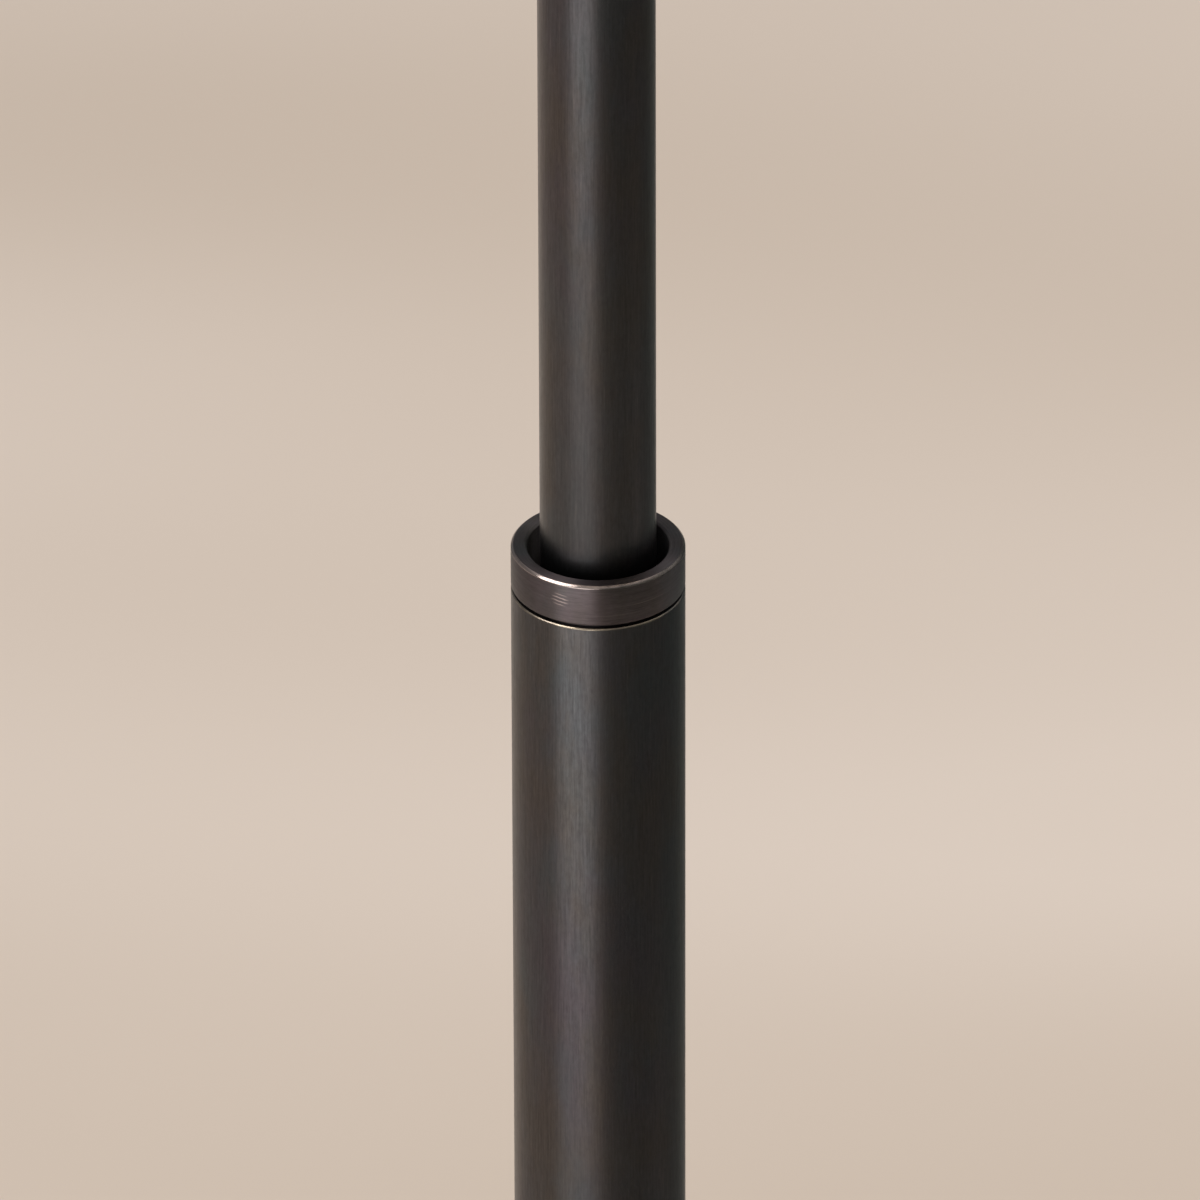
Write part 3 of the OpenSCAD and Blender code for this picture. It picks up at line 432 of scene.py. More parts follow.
def bronze(name, grain, across, along, main, rough, wear=0.5, turned=0):
    """Patinated bronze: a dark chemical finish over brass, clouded and rubbed along its grain.

    The eye sees near black with faint violet, blue and brown clouds, fine streaks along the
    grain and a few pale rubs. Turned metal draws its gleam out across the grooves.
    """
    material, tree, shader = material_of(name, main, rough, 1)
    place = add(tree, "TexCoord").outputs["Object"]
    colour = linear(main)
    for seed, (tint, size) in enumerate(BRONZE_CLOUDS.items()):
        drawn = add(tree, "Mapping", {"Vector": place, "Location": (seed, seed, seed),
            "Scale": (1 / (size * MM), 1 / (size * MM), 0.4 / (size * MM))})
        cloud = add(tree, "TexNoise", {"Vector": drawn, "Scale": 1.0, "Detail": 5.0, "Roughness": 0.6})
        share = add(tree, "MapRange", {"Value": cloud, "From Min": 0.45, "From Max": 0.65,
            "To Max": 0.8})
        colour = add(tree, "MixRGB", {"Fac": share, "Color1": colour, "Color2": linear(tint)})
    streaks = add(tree, "TexNoise", {"Vector": grain(tree, across, along), "Scale": 1.0,
        "Detail": 5.0, "Roughness": 0.65})
    specks = add(tree, "TexNoise", {"Vector": grain(tree, PATINA_SPECK, 3 * PATINA_SPECK),
        "Scale": 1.0, "Detail": 3.0, "Roughness": 0.7})
    both = add(tree, "Math", {0: specks, 1: 0.6, 2: streaks}, operation="MULTIPLY_ADD")
    shade = add(tree, "MapRange", {"Value": both, "From Min": 0.58, "From Max": 1.02,
        "To Min": 0.81, "To Max": 1.19})
    lit = add(tree, "VectorMath", {0: colour, "Scale": shade}, operation="SCALE")
    rubs = add(tree, "MapRange", {"Value": streaks, "From Min": 0.66, "From Max": 0.76,
        "To Max": wear})
    worn = add(tree, "MixRGB", {"Fac": rubs, "Color1": lit, "Color2": linear(BRONZE_RUBBED)})
    gloss = add(tree, "MapRange", {"Value": both, "From Min": 0.58, "From Max": 1.02,
        "To Min": rough + 0.05, "To Max": rough - 0.05})
    link(tree, worn, shader["Base Color"])
    link(tree, gloss, shader["Roughness"])
    bumps(tree, shader, streaks, TURNED_DEPTH if turned else BRUSHED_DEPTH)
    if turned:
        quarter_turn = 0.25
        shader["Anisotropic"].default_value = turned
        shader["Anisotropic Rotation"].default_value = quarter_turn
        link(tree, add(tree, "Tangent", direction_type="RADIAL", axis="Z"), shader["Tangent"])
    return material


cover_r, cover_z, land_z = solid_of("base_cover")
edge_top = cover_z + COVER_EDGE_H
crown_rise = land_z - edge_top


def crown(level, outwards):
    """Points of the crown's half cosine, from the edge in to the land, or back out."""
    shares = [i / CROWN_STEPS for i in range(CROWN_STEPS + 1)]
    edge = cover_r - COVER_EDGE_R
    points = [(edge + (LAND_R - edge) * t, level + crown_rise * (1 - math.cos(math.pi * t)) / 2)
        for t in shares]
    return points[::-1] if outwards else points


cover = spun([(cover_r, cover_z)]
    + arc(cover_r - COVER_EDGE_R, edge_top - COVER_EDGE_R, COVER_EDGE_R, 0, 90, EDGE_STEPS)
    + crown(edge_top, False)[1:]
    + [(NIPPLE_HOLE_R, land_z), (NIPPLE_HOLE_R, land_z - COVER_WALL)]
    + crown(edge_top - COVER_WALL, True)
    + arc(cover_r - COVER_EDGE_R, edge_top - COVER_EDGE_R, COVER_EDGE_R - COVER_WALL, 90, 0,
        EDGE_STEPS)[1:]
    + [(cover_r - COVER_WALL, cover_z)], steps=256)
grommet_low, grommet_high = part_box("cord_grommet")
inlet_z = (grommet_low.z + grommet_high.z) / 2 / MM
cut_by_rod(cover, GROMMET_HOLE_R, (0, cover_r, inlet_z), 4 * COVER_EDGE_R)
eased(cover, COVER_LIP, 3, 40)
spun_bronze = bronze("spun_bronze_finish", round_about, 0.45, 26, BRONZE, 0.34)
finished(cover, "spun_cover", "base", "bronze_base", spun_bronze, "base_cover")

# The cord inlet
# A grommet moulded in black rubber snaps into the back of the cover, with a rounded flange
# outside and a thinner lip inside, so that no cord can chafe on the edge of the sheet.
RUBBER = "#1f1e1d"
RUBBER_BLOOM = "#34322f"
BLOOM_SIZE = 2.5
INLET_R = 3.25
GROMMET_BODY_R = 4.65
FLANGE_R = 5.95
FLANGE_ROUND = 1
LIP_R = 5.45
GROMMET_T = 1.5
GROMMET_IN = 1.5
GROMMET_EASE = 0.4


def moved(piece, turn, at):
    """Turns a piece about the origin, then puts it at a place, and applies both."""
    chosen(piece)
    piece.rotation_euler = turn
    piece.location = Vector(at) * MM
    bpy.ops.object.transform_apply()


# Moulded rubber: a soft dull black, with the faint grey bloom that old rubber sweats out.
rubber = mottled("moulded_rubber", (RUBBER, RUBBER_BLOOM), 0.62, BLOOM_SIZE, relief=0.03,
    noise={"Detail": 5.0})
grommet = spun([(INLET_R, -GROMMET_IN - GROMMET_T), (LIP_R, -GROMMET_IN - GROMMET_T),
    (LIP_R, -GROMMET_IN), (GROMMET_BODY_R, -GROMMET_IN), (GROMMET_BODY_R, 0), (FLANGE_R, 0),
    (FLANGE_R - FLANGE_ROUND / 4, GROMMET_T * 0.55), (FLANGE_R - FLANGE_ROUND, GROMMET_T),
    (INLET_R, GROMMET_T)], 96)
eased(grommet, GROMMET_EASE, 4, 25)
moved(grommet, (-math.pi / 2, 0, 0), (0, cover_r, inlet_z))
finished(grommet, "rubber_grommet", "base", "rubber", rubber, "cord_grommet")
dress(rubber, "friction_rings")

# The seat and the plug of the stem
# The seat is turned from brass bar, with a cove that runs up to the tube, and takes the same
# dark finish as the stem. The plug is left bare, for it is brazed into the tube's lower end.
SEAT_WALL = 3
SEAT_FLOOR = 3
SEAT_CLEAR = 0.03
SEAT_EASE = 0.3
BRASS = "#a88d56"
BRASS_DULL = "#8b7446"

tube_r, tube_z, tube_top = solid_of("outer_tube")
seat_r, seat_z, seat_top = solid_of("stem_seat")
seat_top_r = tube_r + SEAT_WALL
cove_r = seat_r - seat_top_r
seat = spun([(NIPPLE_HOLE_R, seat_z), (seat_r, seat_z)]
    + arc(seat_r, seat_top, cove_r, 270, 180, 16)
    + [(tube_r + SEAT_CLEAR, seat_top), (tube_r + SEAT_CLEAR, seat_z + SEAT_FLOOR),
        (NIPPLE_HOLE_R, seat_z + SEAT_FLOOR)])
eased(seat, SEAT_EASE)
turned_bronze = bronze("turned_bronze", round_about, 0.2, 12, BRONZE_RED, 0.38, 0.6, 0.9)
finished(seat, "turned_seat", "base", "bronze_turned", turned_bronze, "stem_seat")


def ringed(name, colours, rough, rings, gloss, relief, metallic=0):
    """A turned material in two colours, with tool marks of a width and length in mm."""
    material, tree, shader = material_of(name, colours[0], rough, metallic)
    marks = add(tree, "TexNoise", {"Vector": round_about(tree, *rings), "Scale": 1.0,
        "Detail": 3.0})
    toned(tree, shader, marks, colours, gloss, relief)
    return material


# Bare brass: yellow, dulled by the air in rings where the tool has cut it rougher.
brass = ringed("bare_turned_brass", (BRASS, BRASS_DULL), 0.32, (0.3, 12), (0.24, 0.42), 0.01, 1)
dress(brass, "stem_plug", "shoulder_ring", "foot_ring")

# The outer tube
# Drawn brass tube, brushed lengthwise under its dark finish. The chamfer on its upper end was
# cut after the brushing and has rubbed bright, and it is painted lighter still as a highlight, so it
# shows as a thin pale line at the seam.
TUBE_WALL = 1.1
TUBE_CHAMFER = 0.13
TUBE_SOFTEN = 0.05
LEVEL_FACE = 0.97
UPRIGHT_FACE = 0.1
EDGE_WEAR_AND_HIGHLIGHT = "#9a8f80"

tube = spun([(tube_r - TUBE_WALL, tube_z), (tube_r, tube_z), (tube_r, tube_top - TUBE_CHAMFER),
    (tube_r - TUBE_CHAMFER, tube_top), (tube_r - TUBE_WALL, tube_top)])
eased(tube, TUBE_SOFTEN)
brushed_bronze = bronze("brushed_bronze", lengthwise, 0.22, 5, BRONZE, 0.33, 0.25)
# The chamfer's finish is rubbed metal and a painted highlight: lighter than the wear alone would be.
rubbed_edge_and_highlight = bronze("rubbed_edge_and_highlight", round_about, 0.1, 5, EDGE_WEAR_AND_HIGHLIGHT, 0.28)
tube.data.materials.append(brushed_bronze)
tube.data.materials.append(rubbed_edge_and_highlight)
for face in tube.data.polygons:
    on_chamfer = face.center.z > (tube_top - TUBE_CHAMFER - TUBE_SOFTEN) * MM
    face.material_index = 1 if on_chamfer and UPRIGHT_FACE < face.normal.z < LEVEL_FACE else 0
finished(tube, "brushed_outer_tube", "base", "bronze", brushed_bronze, "outer_tube")

# The collar
# A turned ring that screws into the tube by its spigot and ends flush with it, over a narrow
# dark seam. Its bore is wide round the inner tube, hands have worn its upper edge, which is also
# painted lighter as a highlight, and the tool has left a few short strokes on its side.
COLLAR_BORE_R = 7.75
COLLAR_CHAMFER = 0.26
COLLAR_SOFTEN = 0.06
COLLAR_WEAR_AND_HIGHLIGHT = "#a39793"
CHATTER_TURN = 26
CHATTER_DOWN = 2.1
CHATTER_SIZE = (1.15, 4, 0.95)
CHATTER_PITCH = 0.42
CHATTER_SLANT = -7
CHATTER_LIGHT = "#8d8180"
WAVE_BAND = 0.314
SEAM = 0.3
SEAM_DEPTH = 0.6

collar_r, spigot_z, collar_top = solid_of("collar")
# The upper outside edge is worn to bare metal and painted lighter still as a highlight.
worn_edge_and_highlight = bronze("worn_collar_edge_and_highlight", round_about, 0.15, 6, COLLAR_WEAR_AND_HIGHLIGHT, 0.19, 0.6, 0.5)
seam_z = tube_top
spigot_r = tube_r - TUBE_WALL - SEAT_CLEAR
collar = spun([(COLLAR_BORE_R, spigot_z), (spigot_r, spigot_z), (spigot_r, seam_z),
    (collar_r - SEAM_DEPTH, seam_z), (collar_r - SEAM_DEPTH, seam_z + SEAM),
    (collar_r - COLLAR_CHAMFER, seam_z + SEAM), (collar_r, seam_z + SEAM + COLLAR_CHAMFER),
    (collar_r, collar_top - COLLAR_CHAMFER), (collar_r - COLLAR_CHAMFER, collar_top),
    (COLLAR_BORE_R + COLLAR_CHAMFER, collar_top), (COLLAR_BORE_R, collar_top - COLLAR_CHAMFER)])
eased(collar, COLLAR_SOFTEN)
# The collar's own turned bronze has the tool's short pale strokes, as the bands of a wave. A
# wave texture of scale 1 has a band every WAVE_BAND metres.
marked_bronze = turned_bronze.copy()
marked_bronze.name = "marked_turned_bronze"
tree = marked_bronze.node_tree
shader = tree.nodes["Principled BSDF"].inputs
place = add(tree, "TexCoord").outputs["Object"]
spot = add(tree, "Mapping", {"Vector": place, "Rotation": (0, 0, math.radians(CHATTER_TURN)),
    "Location": (0, collar_r * MM, (CHATTER_DOWN - collar_top) * MM)})
slanted = add(tree, "Mapping", {"Vector": spot, "Rotation": (0, math.radians(CHATTER_SLANT), 0)})
strokes = add(tree, "TexWave", {"Vector": slanted, "Scale": WAVE_BAND / (CHATTER_PITCH * MM),
    "Distortion": 1.3, "Detail Scale": 4.0}, bands_direction="Z").outputs["Fac"]
reach = add(tree, "VectorMath", {0: spot, 1: [1 / (side * MM) for side in CHATTER_SIZE]},
    operation="MULTIPLY")
far = add(tree, "VectorMath", {0: reach}, operation="LENGTH").outputs["Value"]
near = add(tree, "MapRange", {"Value": far, "From Min": 1.0, "From Max": 0.5})
stroke = add(tree, "MapRange", {"Value": strokes, "From Min": 0.6, "From Max": 0.95})
share = add(tree, "Math", {0: near, 1: stroke}, operation="MULTIPLY")
plain = shader["Base Color"].links[0].from_socket
marked = add(tree, "MixRGB", {"Fac": share, "Color1": plain, "Color2": linear(CHATTER_LIGHT)})
link(tree, marked, shader["Base Color"])
collar.data.materials.append(marked_bronze)
collar.data.materials.append(worn_edge_and_highlight)
# Only the upper outside edge takes the worn finish with its painted highlight.
for face in collar.data.polygons:
    middle = face.center / MM
    at_edge = middle.z > collar_top - COLLAR_CHAMFER - COLLAR_SOFTEN and face.normal.z < LEVEL_FACE
    outside = middle.to_2d().length > (COLLAR_BORE_R + collar_r) / 2
    face.material_index = 1 if at_edge and outside else 0
finished(collar, "turned_collar", "base", "bronze_turned", marked_bronze, "collar")

# The guide bush and the slider
# Turned acetal, black for the bush under the collar and natural for the sleeve that grips the
# outer tube with four tongues. Both are machined from bar on a lathe.
ACETAL_BLACK = ("#1c1c1e", "#29292b")
ACETAL_NATURAL = ("#dcd8cc", "#c9c4b5")

# Turned acetal: a dense plastic with a waxy half gloss, drawn out in fine rings.
turned_acetal = {"rough": 0.4, "rings": (0.25, 14), "gloss": (0.32, 0.5), "relief": 0.012}
dress(ringed("black_acetal", ACETAL_BLACK, **turned_acetal), "guide_bush")
dress(ringed("natural_acetal", ACETAL_NATURAL, **turned_acetal), "friction_sleeve", "wire_bush")

# The inner tube
# Drawn brass tube like the outer one and finished with it, so its brushing also runs lengthwise.
# It carries the whole head of the lamp and slides down until the cap meets the collar.
INNER_WALL = 1

inner_r, inner_z, inner_top = solid_of("inner_tube")
inner = spun([(inner_r - INNER_WALL, inner_z), (inner_r, inner_z), (inner_r, inner_top),
    (inner_r - INNER_WALL, inner_top)])
eased(inner, TUBE_SOFTEN)
finished(inner, "brushed_inner_tube", "mast", "bronze", brushed_bronze, "inner_tube")

# The cap of the inner tube
# Turned from brass bar to the diameter of the outer tube, with a spigot pressed into the inner
# one. The hollow nipple on top clamps the saddle and the lampholder on it.
CAP_CHAMFER = 0.5
CAP_EASE = 0.12
CAP_THREAD = 9
NIPPLE_R = 5.03
WIRE_R = 3.5

cap_r, cap_low, cap_top = solid_of("mast_cap")
thread_z = cap_top - CAP_THREAD
cap = spun([(WIRE_R, cap_low), (inner_r - INNER_WALL - SEAT_CLEAR, cap_low),
    (inner_r - INNER_WALL - SEAT_CLEAR, inner_top), (cap_r - CAP_CHAMFER, inner_top),
    (cap_r, inner_top + CAP_CHAMFER), (cap_r, cap_top - CAP_CHAMFER),
    (cap_r - CAP_CHAMFER, cap_top), (NIPPLE_R, cap_top), (NIPPLE_R, thread_z),
    (WIRE_R, thread_z)])
eased(cap, CAP_EASE)
finished(cap, "turned_cap", "mast", "bronze_turned", turned_bronze, "mast_cap")

# The saddle
# Pressed from steel strip: level under the lampholder, bent up on both sides, tapered and
# ended in a peg for each leg of the harp. Its plating is an antique bronze.
SADDLE_T = 1.5
SADDLE_BEND_R = 4
SADDLE_EASE = 0.25
SADDLE_LEG_W = 8
PEG_W = 2.6
PEG_H = 5
SADDLE_HOLE_R = 5.2
BEND_STEPS = 12
ANTIQUE = "#6e6354"
ANTIQUE_DARK = "#4c443a"
ANTIQUE_WORN = "#93826a"
ANTIQUE_CLOUD = 6
ANTIQUE_SPECK = 0.35

saddle_low, saddle_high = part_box("harp_saddle")
strip_w = (saddle_high.y - saddle_low.y) / MM
saddle_z = saddle_low.z / MM
leg_x = saddle_high.x / MM - SADDLE_T / 2
shoulder_z = saddle_high.z / MM - PEG_H
bend_x = leg_x - SADDLE_T / 2 - SADDLE_BEND_R
bend_z = saddle_z + SADDLE_T + SADDLE_BEND_R


def antiqued(tree, shader, colours, size, marks, wear, gloss):
    """A dark finish in clouds of a size in mm, rubbed where its fine marks stand out."""
    dark, plain, rubbed = colours
    place = add(tree, "TexCoord").outputs["Object"]
    cloud = add(tree, "TexNoise", {"Vector": place, "Scale": 1 / (size * MM), "Detail": 5.0})
    toned(tree, shader, cloud, (dark, plain), gloss)
    ground = shader["Base Color"].links[0].from_socket
    rubs = add(tree, "MapRange", {"Value": marks, "From Min": wear[0], "From Max": wear[1],
        "To Max": wear[2]})
    worn = add(tree, "MixRGB", {"Fac": rubs, "Color1": ground, "Color2": linear(rubbed)})
    link(tree, worn, shader["Base Color"])
    bumps(tree, shader, marks, 0.01)


# Antique bronze plate on steel: dull brown clouds, with a fine gleam where the dark has come off.
antique, tree, shader = material_of("antique_bronze_plate", ANTIQUE, 0.34, 1)
place = add(tree, "TexCoord").outputs["Object"]
specks = add(tree, "TexNoise", {"Vector": place, "Scale": 1 / (ANTIQUE_SPECK * MM), "Detail": 2.0})
antiqued(tree, shader, (ANTIQUE_DARK, ANTIQUE, ANTIQUE_WORN), ANTIQUE_CLOUD, specks,
    (0.55, 0.8, 0.5), (0.26, 0.44))

middle_w = PEG_W * strip_w / SADDLE_LEG_W
bpy.ops.mesh.primitive_grid_add(x_subdivisions=2, y_subdivisions=3, size=1,
    location=(0, 0, (saddle_z + SADDLE_T / 2) * MM))
bpy.ops.transform.resize(value=(2 * bend_x * MM, strip_w * MM, 1))
saddle = opened()


def select_where(piece, test):
    """Selects the vertices of a piece in edit mode whose place in mm passes the test."""
    bpy.ops.mesh.select_all(action="DESELECT")
    bpy.ops.object.mode_set(mode="OBJECT")
    for vertex in piece.data.vertices:
        vertex.select = test(vertex.co / MM)
    bpy.ops.object.mode_set(mode="EDIT")


select_where(saddle, lambda p: abs(p.y) < strip_w / 3)
bpy.ops.transform.resize(value=(1, 3 * middle_w / strip_w, 1))
for side in (-1, 1):
    select_where(saddle, lambda p: p.x * side > bend_x - 0.1)
    bpy.ops.mesh.spin(steps=BEND_STEPS, angle=side * math.pi / 2, axis=(0, 1, 0),
        center=(side * bend_x * MM, 0, bend_z * MM))
    extruded(0, 0, shoulder_z - bend_z)
    bpy.ops.transform.resize(value=(1, SADDLE_LEG_W / strip_w, 1))
    select_where(saddle, lambda p: p.x * side > bend_x and p.z > shoulder_z - 0.1
        and abs(p.y) < SADDLE_LEG_W / 3)
    extruded(0, 0, PEG_H)
closed_up()
bpy.ops.object.modifier_add(type="SOLIDIFY")
thick = saddle.modifiers[-1]
thick.thickness = SADDLE_T * MM
thick.offset = 0
bpy.ops.object.modifier_apply(modifier=thick.name)
cut_by_rod(saddle, SADDLE_HOLE_R, (0, 0, saddle_z), 4 * SADDLE_T, (0, 0, 0))
eased(saddle, SADDLE_EASE, 3, 50)
finished(saddle, "pressed_saddle", "mast", "harp_bronze", antique, "harp_saddle")

# The harp
# One length of steel wire, bent out to two long sides and a round top, with a boss pressed on
# its middle. The boss carries the threaded stud for the shade. Its plating matches the saddle.
HARP_WIRE_R = 1.6
HARP_LEG = 12
HARP_LEG_R = 6
HARP_TOP_R = 45
BOSS_R = 4.75
BOSS_UP = 2.8
BOSS_CHAMFER = 0.5
BOSS_EASE = 0.06
STUD_R = 3.175
STUD_POINT = (0.7, 0.6)
STUD_PITCH = 0.94
THREAD_DEPTH = 0.45


def bent_wire(start, heading, r, moves, sides=24):
    """Draws a round wire out of start: runs by a vector, or bends about a centre by degrees."""
    bpy.ops.mesh.primitive_circle_add(vertices=sides, radius=r * MM, location=Vector(start) * MM,
        rotation=Vector(heading).to_track_quat("Z", "Y").to_euler())
    piece = opened()
    bpy.ops.mesh.select_all(action="SELECT")
    for move in moves:
        if len(move) == 3:
            extruded(*move)
        else:
            centre, angle = move
            bpy.ops.mesh.spin(steps=max(6, round(abs(angle) / 4)), angle=math.radians(angle),
                axis=(0, 1, 0), center=Vector(centre) * MM)
    bpy.ops.object.mode_set(mode="OBJECT")
    return piece


def capped(piece):
    """Closes the open ends of a piece, turns its faces outwards and smooths it."""
    bpy.ops.object.mode_set(mode="EDIT")
    bpy.ops.mesh.select_all(action="SELECT")
    bpy.ops.mesh.remove_doubles(threshold=1e-6)
    bpy.ops.mesh.fill_holes(sides=0)
    closed_up()
    bpy.ops.object.shade_smooth_by_angle(angle=math.radians(40))


def joined(piece, *others):
    """Makes one object of a piece and the others that are fixed to it."""
    chosen(piece)
    for other in others:
        other.select_set(True)
    bpy.ops.object.join()


def thread(r, low, high, pitch):
    """Outline points of a thread's flanks, from low to high, with its crests at r."""
    count = int((high - low) / pitch)
    return [(r - (THREAD_DEPTH if i % 2 else 0), low + (i + 0.5) * pitch / 2)
        for i in range(2 * count)]


harp_low, harp_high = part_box("harp")
harp_foot = harp_low.z / MM
stud_top = harp_high.z / MM
spider_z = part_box("shade_spider")[0].z / MM
harp_x = harp_high.x / MM - HARP_WIRE_R
harp_z = spider_z - BOSS_UP
top_z = harp_z - HARP_TOP_R
low_r = harp_x - leg_x - HARP_LEG_R
bend_low = harp_foot + HARP_LEG
harp = bent_wire((leg_x, 0, harp_foot), (0, 0, 1), HARP_WIRE_R, [
    (0, 0, HARP_LEG),
    ((leg_x + HARP_LEG_R, 0, bend_low), -90),
    ((leg_x + HARP_LEG_R, 0, bend_low + HARP_LEG_R + low_r), 90),
    (0, 0, top_z - bend_low - HARP_LEG_R - low_r),
    ((harp_x - HARP_TOP_R, 0, top_z), 90),
    (HARP_TOP_R - harp_x, 0, 0)])
bpy.ops.object.modifier_add(type="MIRROR")
harp.modifiers[-1].merge_threshold = 0.01 * MM
bpy.ops.object.modifier_apply(modifier=harp.modifiers[-1].name)
capped(harp)
boss_z = harp_z - BOSS_UP
boss = spun([(0, boss_z), (BOSS_R - BOSS_CHAMFER, boss_z), (BOSS_R, boss_z + BOSS_CHAMFER),
    (BOSS_R, spider_z - BOSS_CHAMFER), (BOSS_R - BOSS_CHAMFER, spider_z),
    (STUD_R - THREAD_DEPTH, spider_z)]
    + thread(STUD_R, spider_z, stud_top - STUD_POINT[1], STUD_PITCH)
    + [(STUD_R - STUD_POINT[0], stud_top), (0, stud_top)], 64, closed=False)
eased(boss, BOSS_EASE, 2)
joined(harp, boss)
finished(harp, "bent_wire_harp", "mast", "harp_bronze", antique, "harp")

# The two ferrules
# Turned brass sleeves that drop over the ends of the harp and the pegs of the saddle, and lock
# them together. Each has a bead at both ends to lift it by.
FERRULE_BORE = 1.7
FERRULE_WAIST = 2.3
FERRULE_BEAD = 1.4
FERRULE_EASE = 0.3

ferrule_low, ferrule_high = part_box("harp_ferrules")
ferrule_r = ferrule_high.x / MM - leg_x
ferrule_z = ferrule_low.z / MM
ferrule_top = ferrule_high.z / MM
for side, x in (("left", -leg_x), ("right", leg_x)):
    ferrule = spun([(FERRULE_BORE, ferrule_z), (ferrule_r, ferrule_z),
        (ferrule_r, ferrule_z + FERRULE_BEAD), (FERRULE_WAIST, ferrule_z + 1.5 * FERRULE_BEAD),
        (FERRULE_WAIST, ferrule_top - 1.5 * FERRULE_BEAD), (ferrule_r, ferrule_top - FERRULE_BEAD),
        (ferrule_r, ferrule_top), (FERRULE_BORE, ferrule_top)], 48)
    eased(ferrule, FERRULE_EASE, 3, 25)
    moved(ferrule, (0, 0, 0), (x, 0, 0))
    finished(ferrule, "ferrule_" + side, "mast", "harp_bronze", antique, "harp_ferrules")

# The lampholder's cap and shell
# Both are drawn from thin brass sheet in an antique finish. The shell is beaded for stiffness,
# curled in at its mouth and pressed into the cap. A fibre sleeve lines it.
SHEET_WALL = 0.6
HUB_R = 7.5
HUB_H = 6
HOLDER_BORE = 5.03
HOLDER_BEAD = 0.25
HOLDER_EASE = 0.15
CAP_BEAD = (1.3, 0.5)
CAP_BEAD_UP = 1.45
SHELL_BEAD = (2.2, 1)
SHELL_BEADS = (0.22, 0.3, 0.78)
SHELL_EASE = 0.12
SHELL_CURL = 1.4
SHAFT_HOLE_R = 2.5
OLD_BRASS = "#5c4a36"
OLD_BRASS_DARK = "#3f342a"
OLD_BRASS_RUBBED = "#8a7150"
OLD_BRASS_CLOUD = 9
FIBRE = "#b59b6c"
FIBRE_DARK = "#8f7850"
FIBRE_FLECK = 0.8


def rolled_in(r, middle, bead):
    """Points of a bead rolled into sheet of radius r, with its width and that of its floor."""
    return [(r, middle - bead[0] / 2), (r - HOLDER_BEAD, middle - bead[1] / 2),
        (r - HOLDER_BEAD, middle + bead[1] / 2), (r, middle + bead[0] / 2)]


holder_r, holder_z, cap_rim = solid_of("holder_cap")
shell_r, shell_z, shell_top = solid_of("holder_shell")
dome_r = holder_r - HUB_R
dome_z = holder_z + HUB_H + dome_r
holder_cap = spun([(HOLDER_BORE, holder_z), (HUB_R, holder_z)]
    + arc(HUB_R, dome_z, dome_r, 270, 360, 16)
    + rolled_in(holder_r, dome_z + CAP_BEAD_UP, CAP_BEAD)
    + [(holder_r, cap_rim), (holder_r - SHEET_WALL, cap_rim)]
    + arc(HUB_R, dome_z, dome_r - SHEET_WALL, 360, 270, 16)
    + [(HOLDER_BORE, holder_z + HUB_H + SHEET_WALL)])
eased(holder_cap, HOLDER_EASE)
# Drawn brass, darkened by hand: warm brown clouds, rubbed to dull gold along the drawing rings.
old_brass, tree, shader = material_of("antique_drawn_brass", OLD_BRASS, 0.3, 1)
rings = add(tree, "TexNoise", {"Vector": round_about(tree, 0.35, 18), "Scale": 1.0, "Detail": 3.0})
antiqued(tree, shader, (OLD_BRASS_DARK, OLD_BRASS, OLD_BRASS_RUBBED), OLD_BRASS_CLOUD, rings,
    (0.58, 0.8, 0.45), (0.22, 0.4))
finished(holder_cap, "lampholder_cap", "mast", "holder_bronze", old_brass, "holder_cap")

beads = []
for share in SHELL_BEADS:
    beads += rolled_in(shell_r, shell_z + share * (shell_top - shell_z), SHELL_BEAD)
holder_shell = spun([(shell_r - SHEET_WALL, shell_z), (shell_r, shell_z)] + beads
    + arc(shell_r - SHELL_CURL, shell_top - SHELL_CURL, SHELL_CURL, 0, 90, 6)
    + [(shell_r - 2 * SHELL_CURL, shell_top), (shell_r - 2 * SHELL_CURL, shell_top - SHEET_WALL)]
    + arc(shell_r - SHELL_CURL, shell_top - SHELL_CURL, SHELL_CURL - SHEET_WALL, 90, 0, 6))
knob_low, knob_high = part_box("switch_knob")
knob_z = (knob_low.z + knob_high.z) / 2 / MM
cut_by_rod(holder_shell, SHAFT_HOLE_R, (0, -shell_r, knob_z), shell_r)
eased(holder_shell, SHELL_EASE, 2)
finished(holder_shell, "lampholder_shell", "mast", "holder_bronze", old_brass, "holder_shell")

# Vulcanised fibre: the matt tan of pressed card, with small dark flecks of rag.
fibre = mottled("vulcanised_fibre", (FIBRE_DARK, FIBRE), 0.6, FIBRE_FLECK, relief=0.04,
    noise={"Detail": 6.0, "Distortion": 0.8})
dress(fibre, "holder_liner")

# The switch block and the contacts
# The block is moulded in brown phenolic resin. The screws, the thread for the bulb and the
# sprung contact are pressed from bright brass.
RESIN = "#33271f"
RESIN_FLOW = "#46352a"
RESIN_SWIRL = 4
BRIGHT_BRASS = "#d0b268"
BRIGHT_BRASS_DULL = "#a98f52"
BRASS_CLOUD = 3

# Moulded phenolic: a glossy dark brown, swirled where the resin has flowed in the mould.
resin = mottled("moulded_phenolic", (RESIN, RESIN_FLOW), 0.3, RESIN_SWIRL,
    noise={"Detail": 5.0, "Distortion": 2.0}, gloss=(0.2, 0.4))
dress(resin, "switch_block")

# Pressed bright brass: a clear yellow gleam that fingers have dulled in places.
bright = mottled("pressed_bright_brass", (BRIGHT_BRASS, BRIGHT_BRASS_DULL), 0.25, BRASS_CLOUD, 1,
    noise={"Detail": 4.0}, gloss=(0.18, 0.36))
dress(bright, "terminal_screws", "screw_shell", "centre_contact")

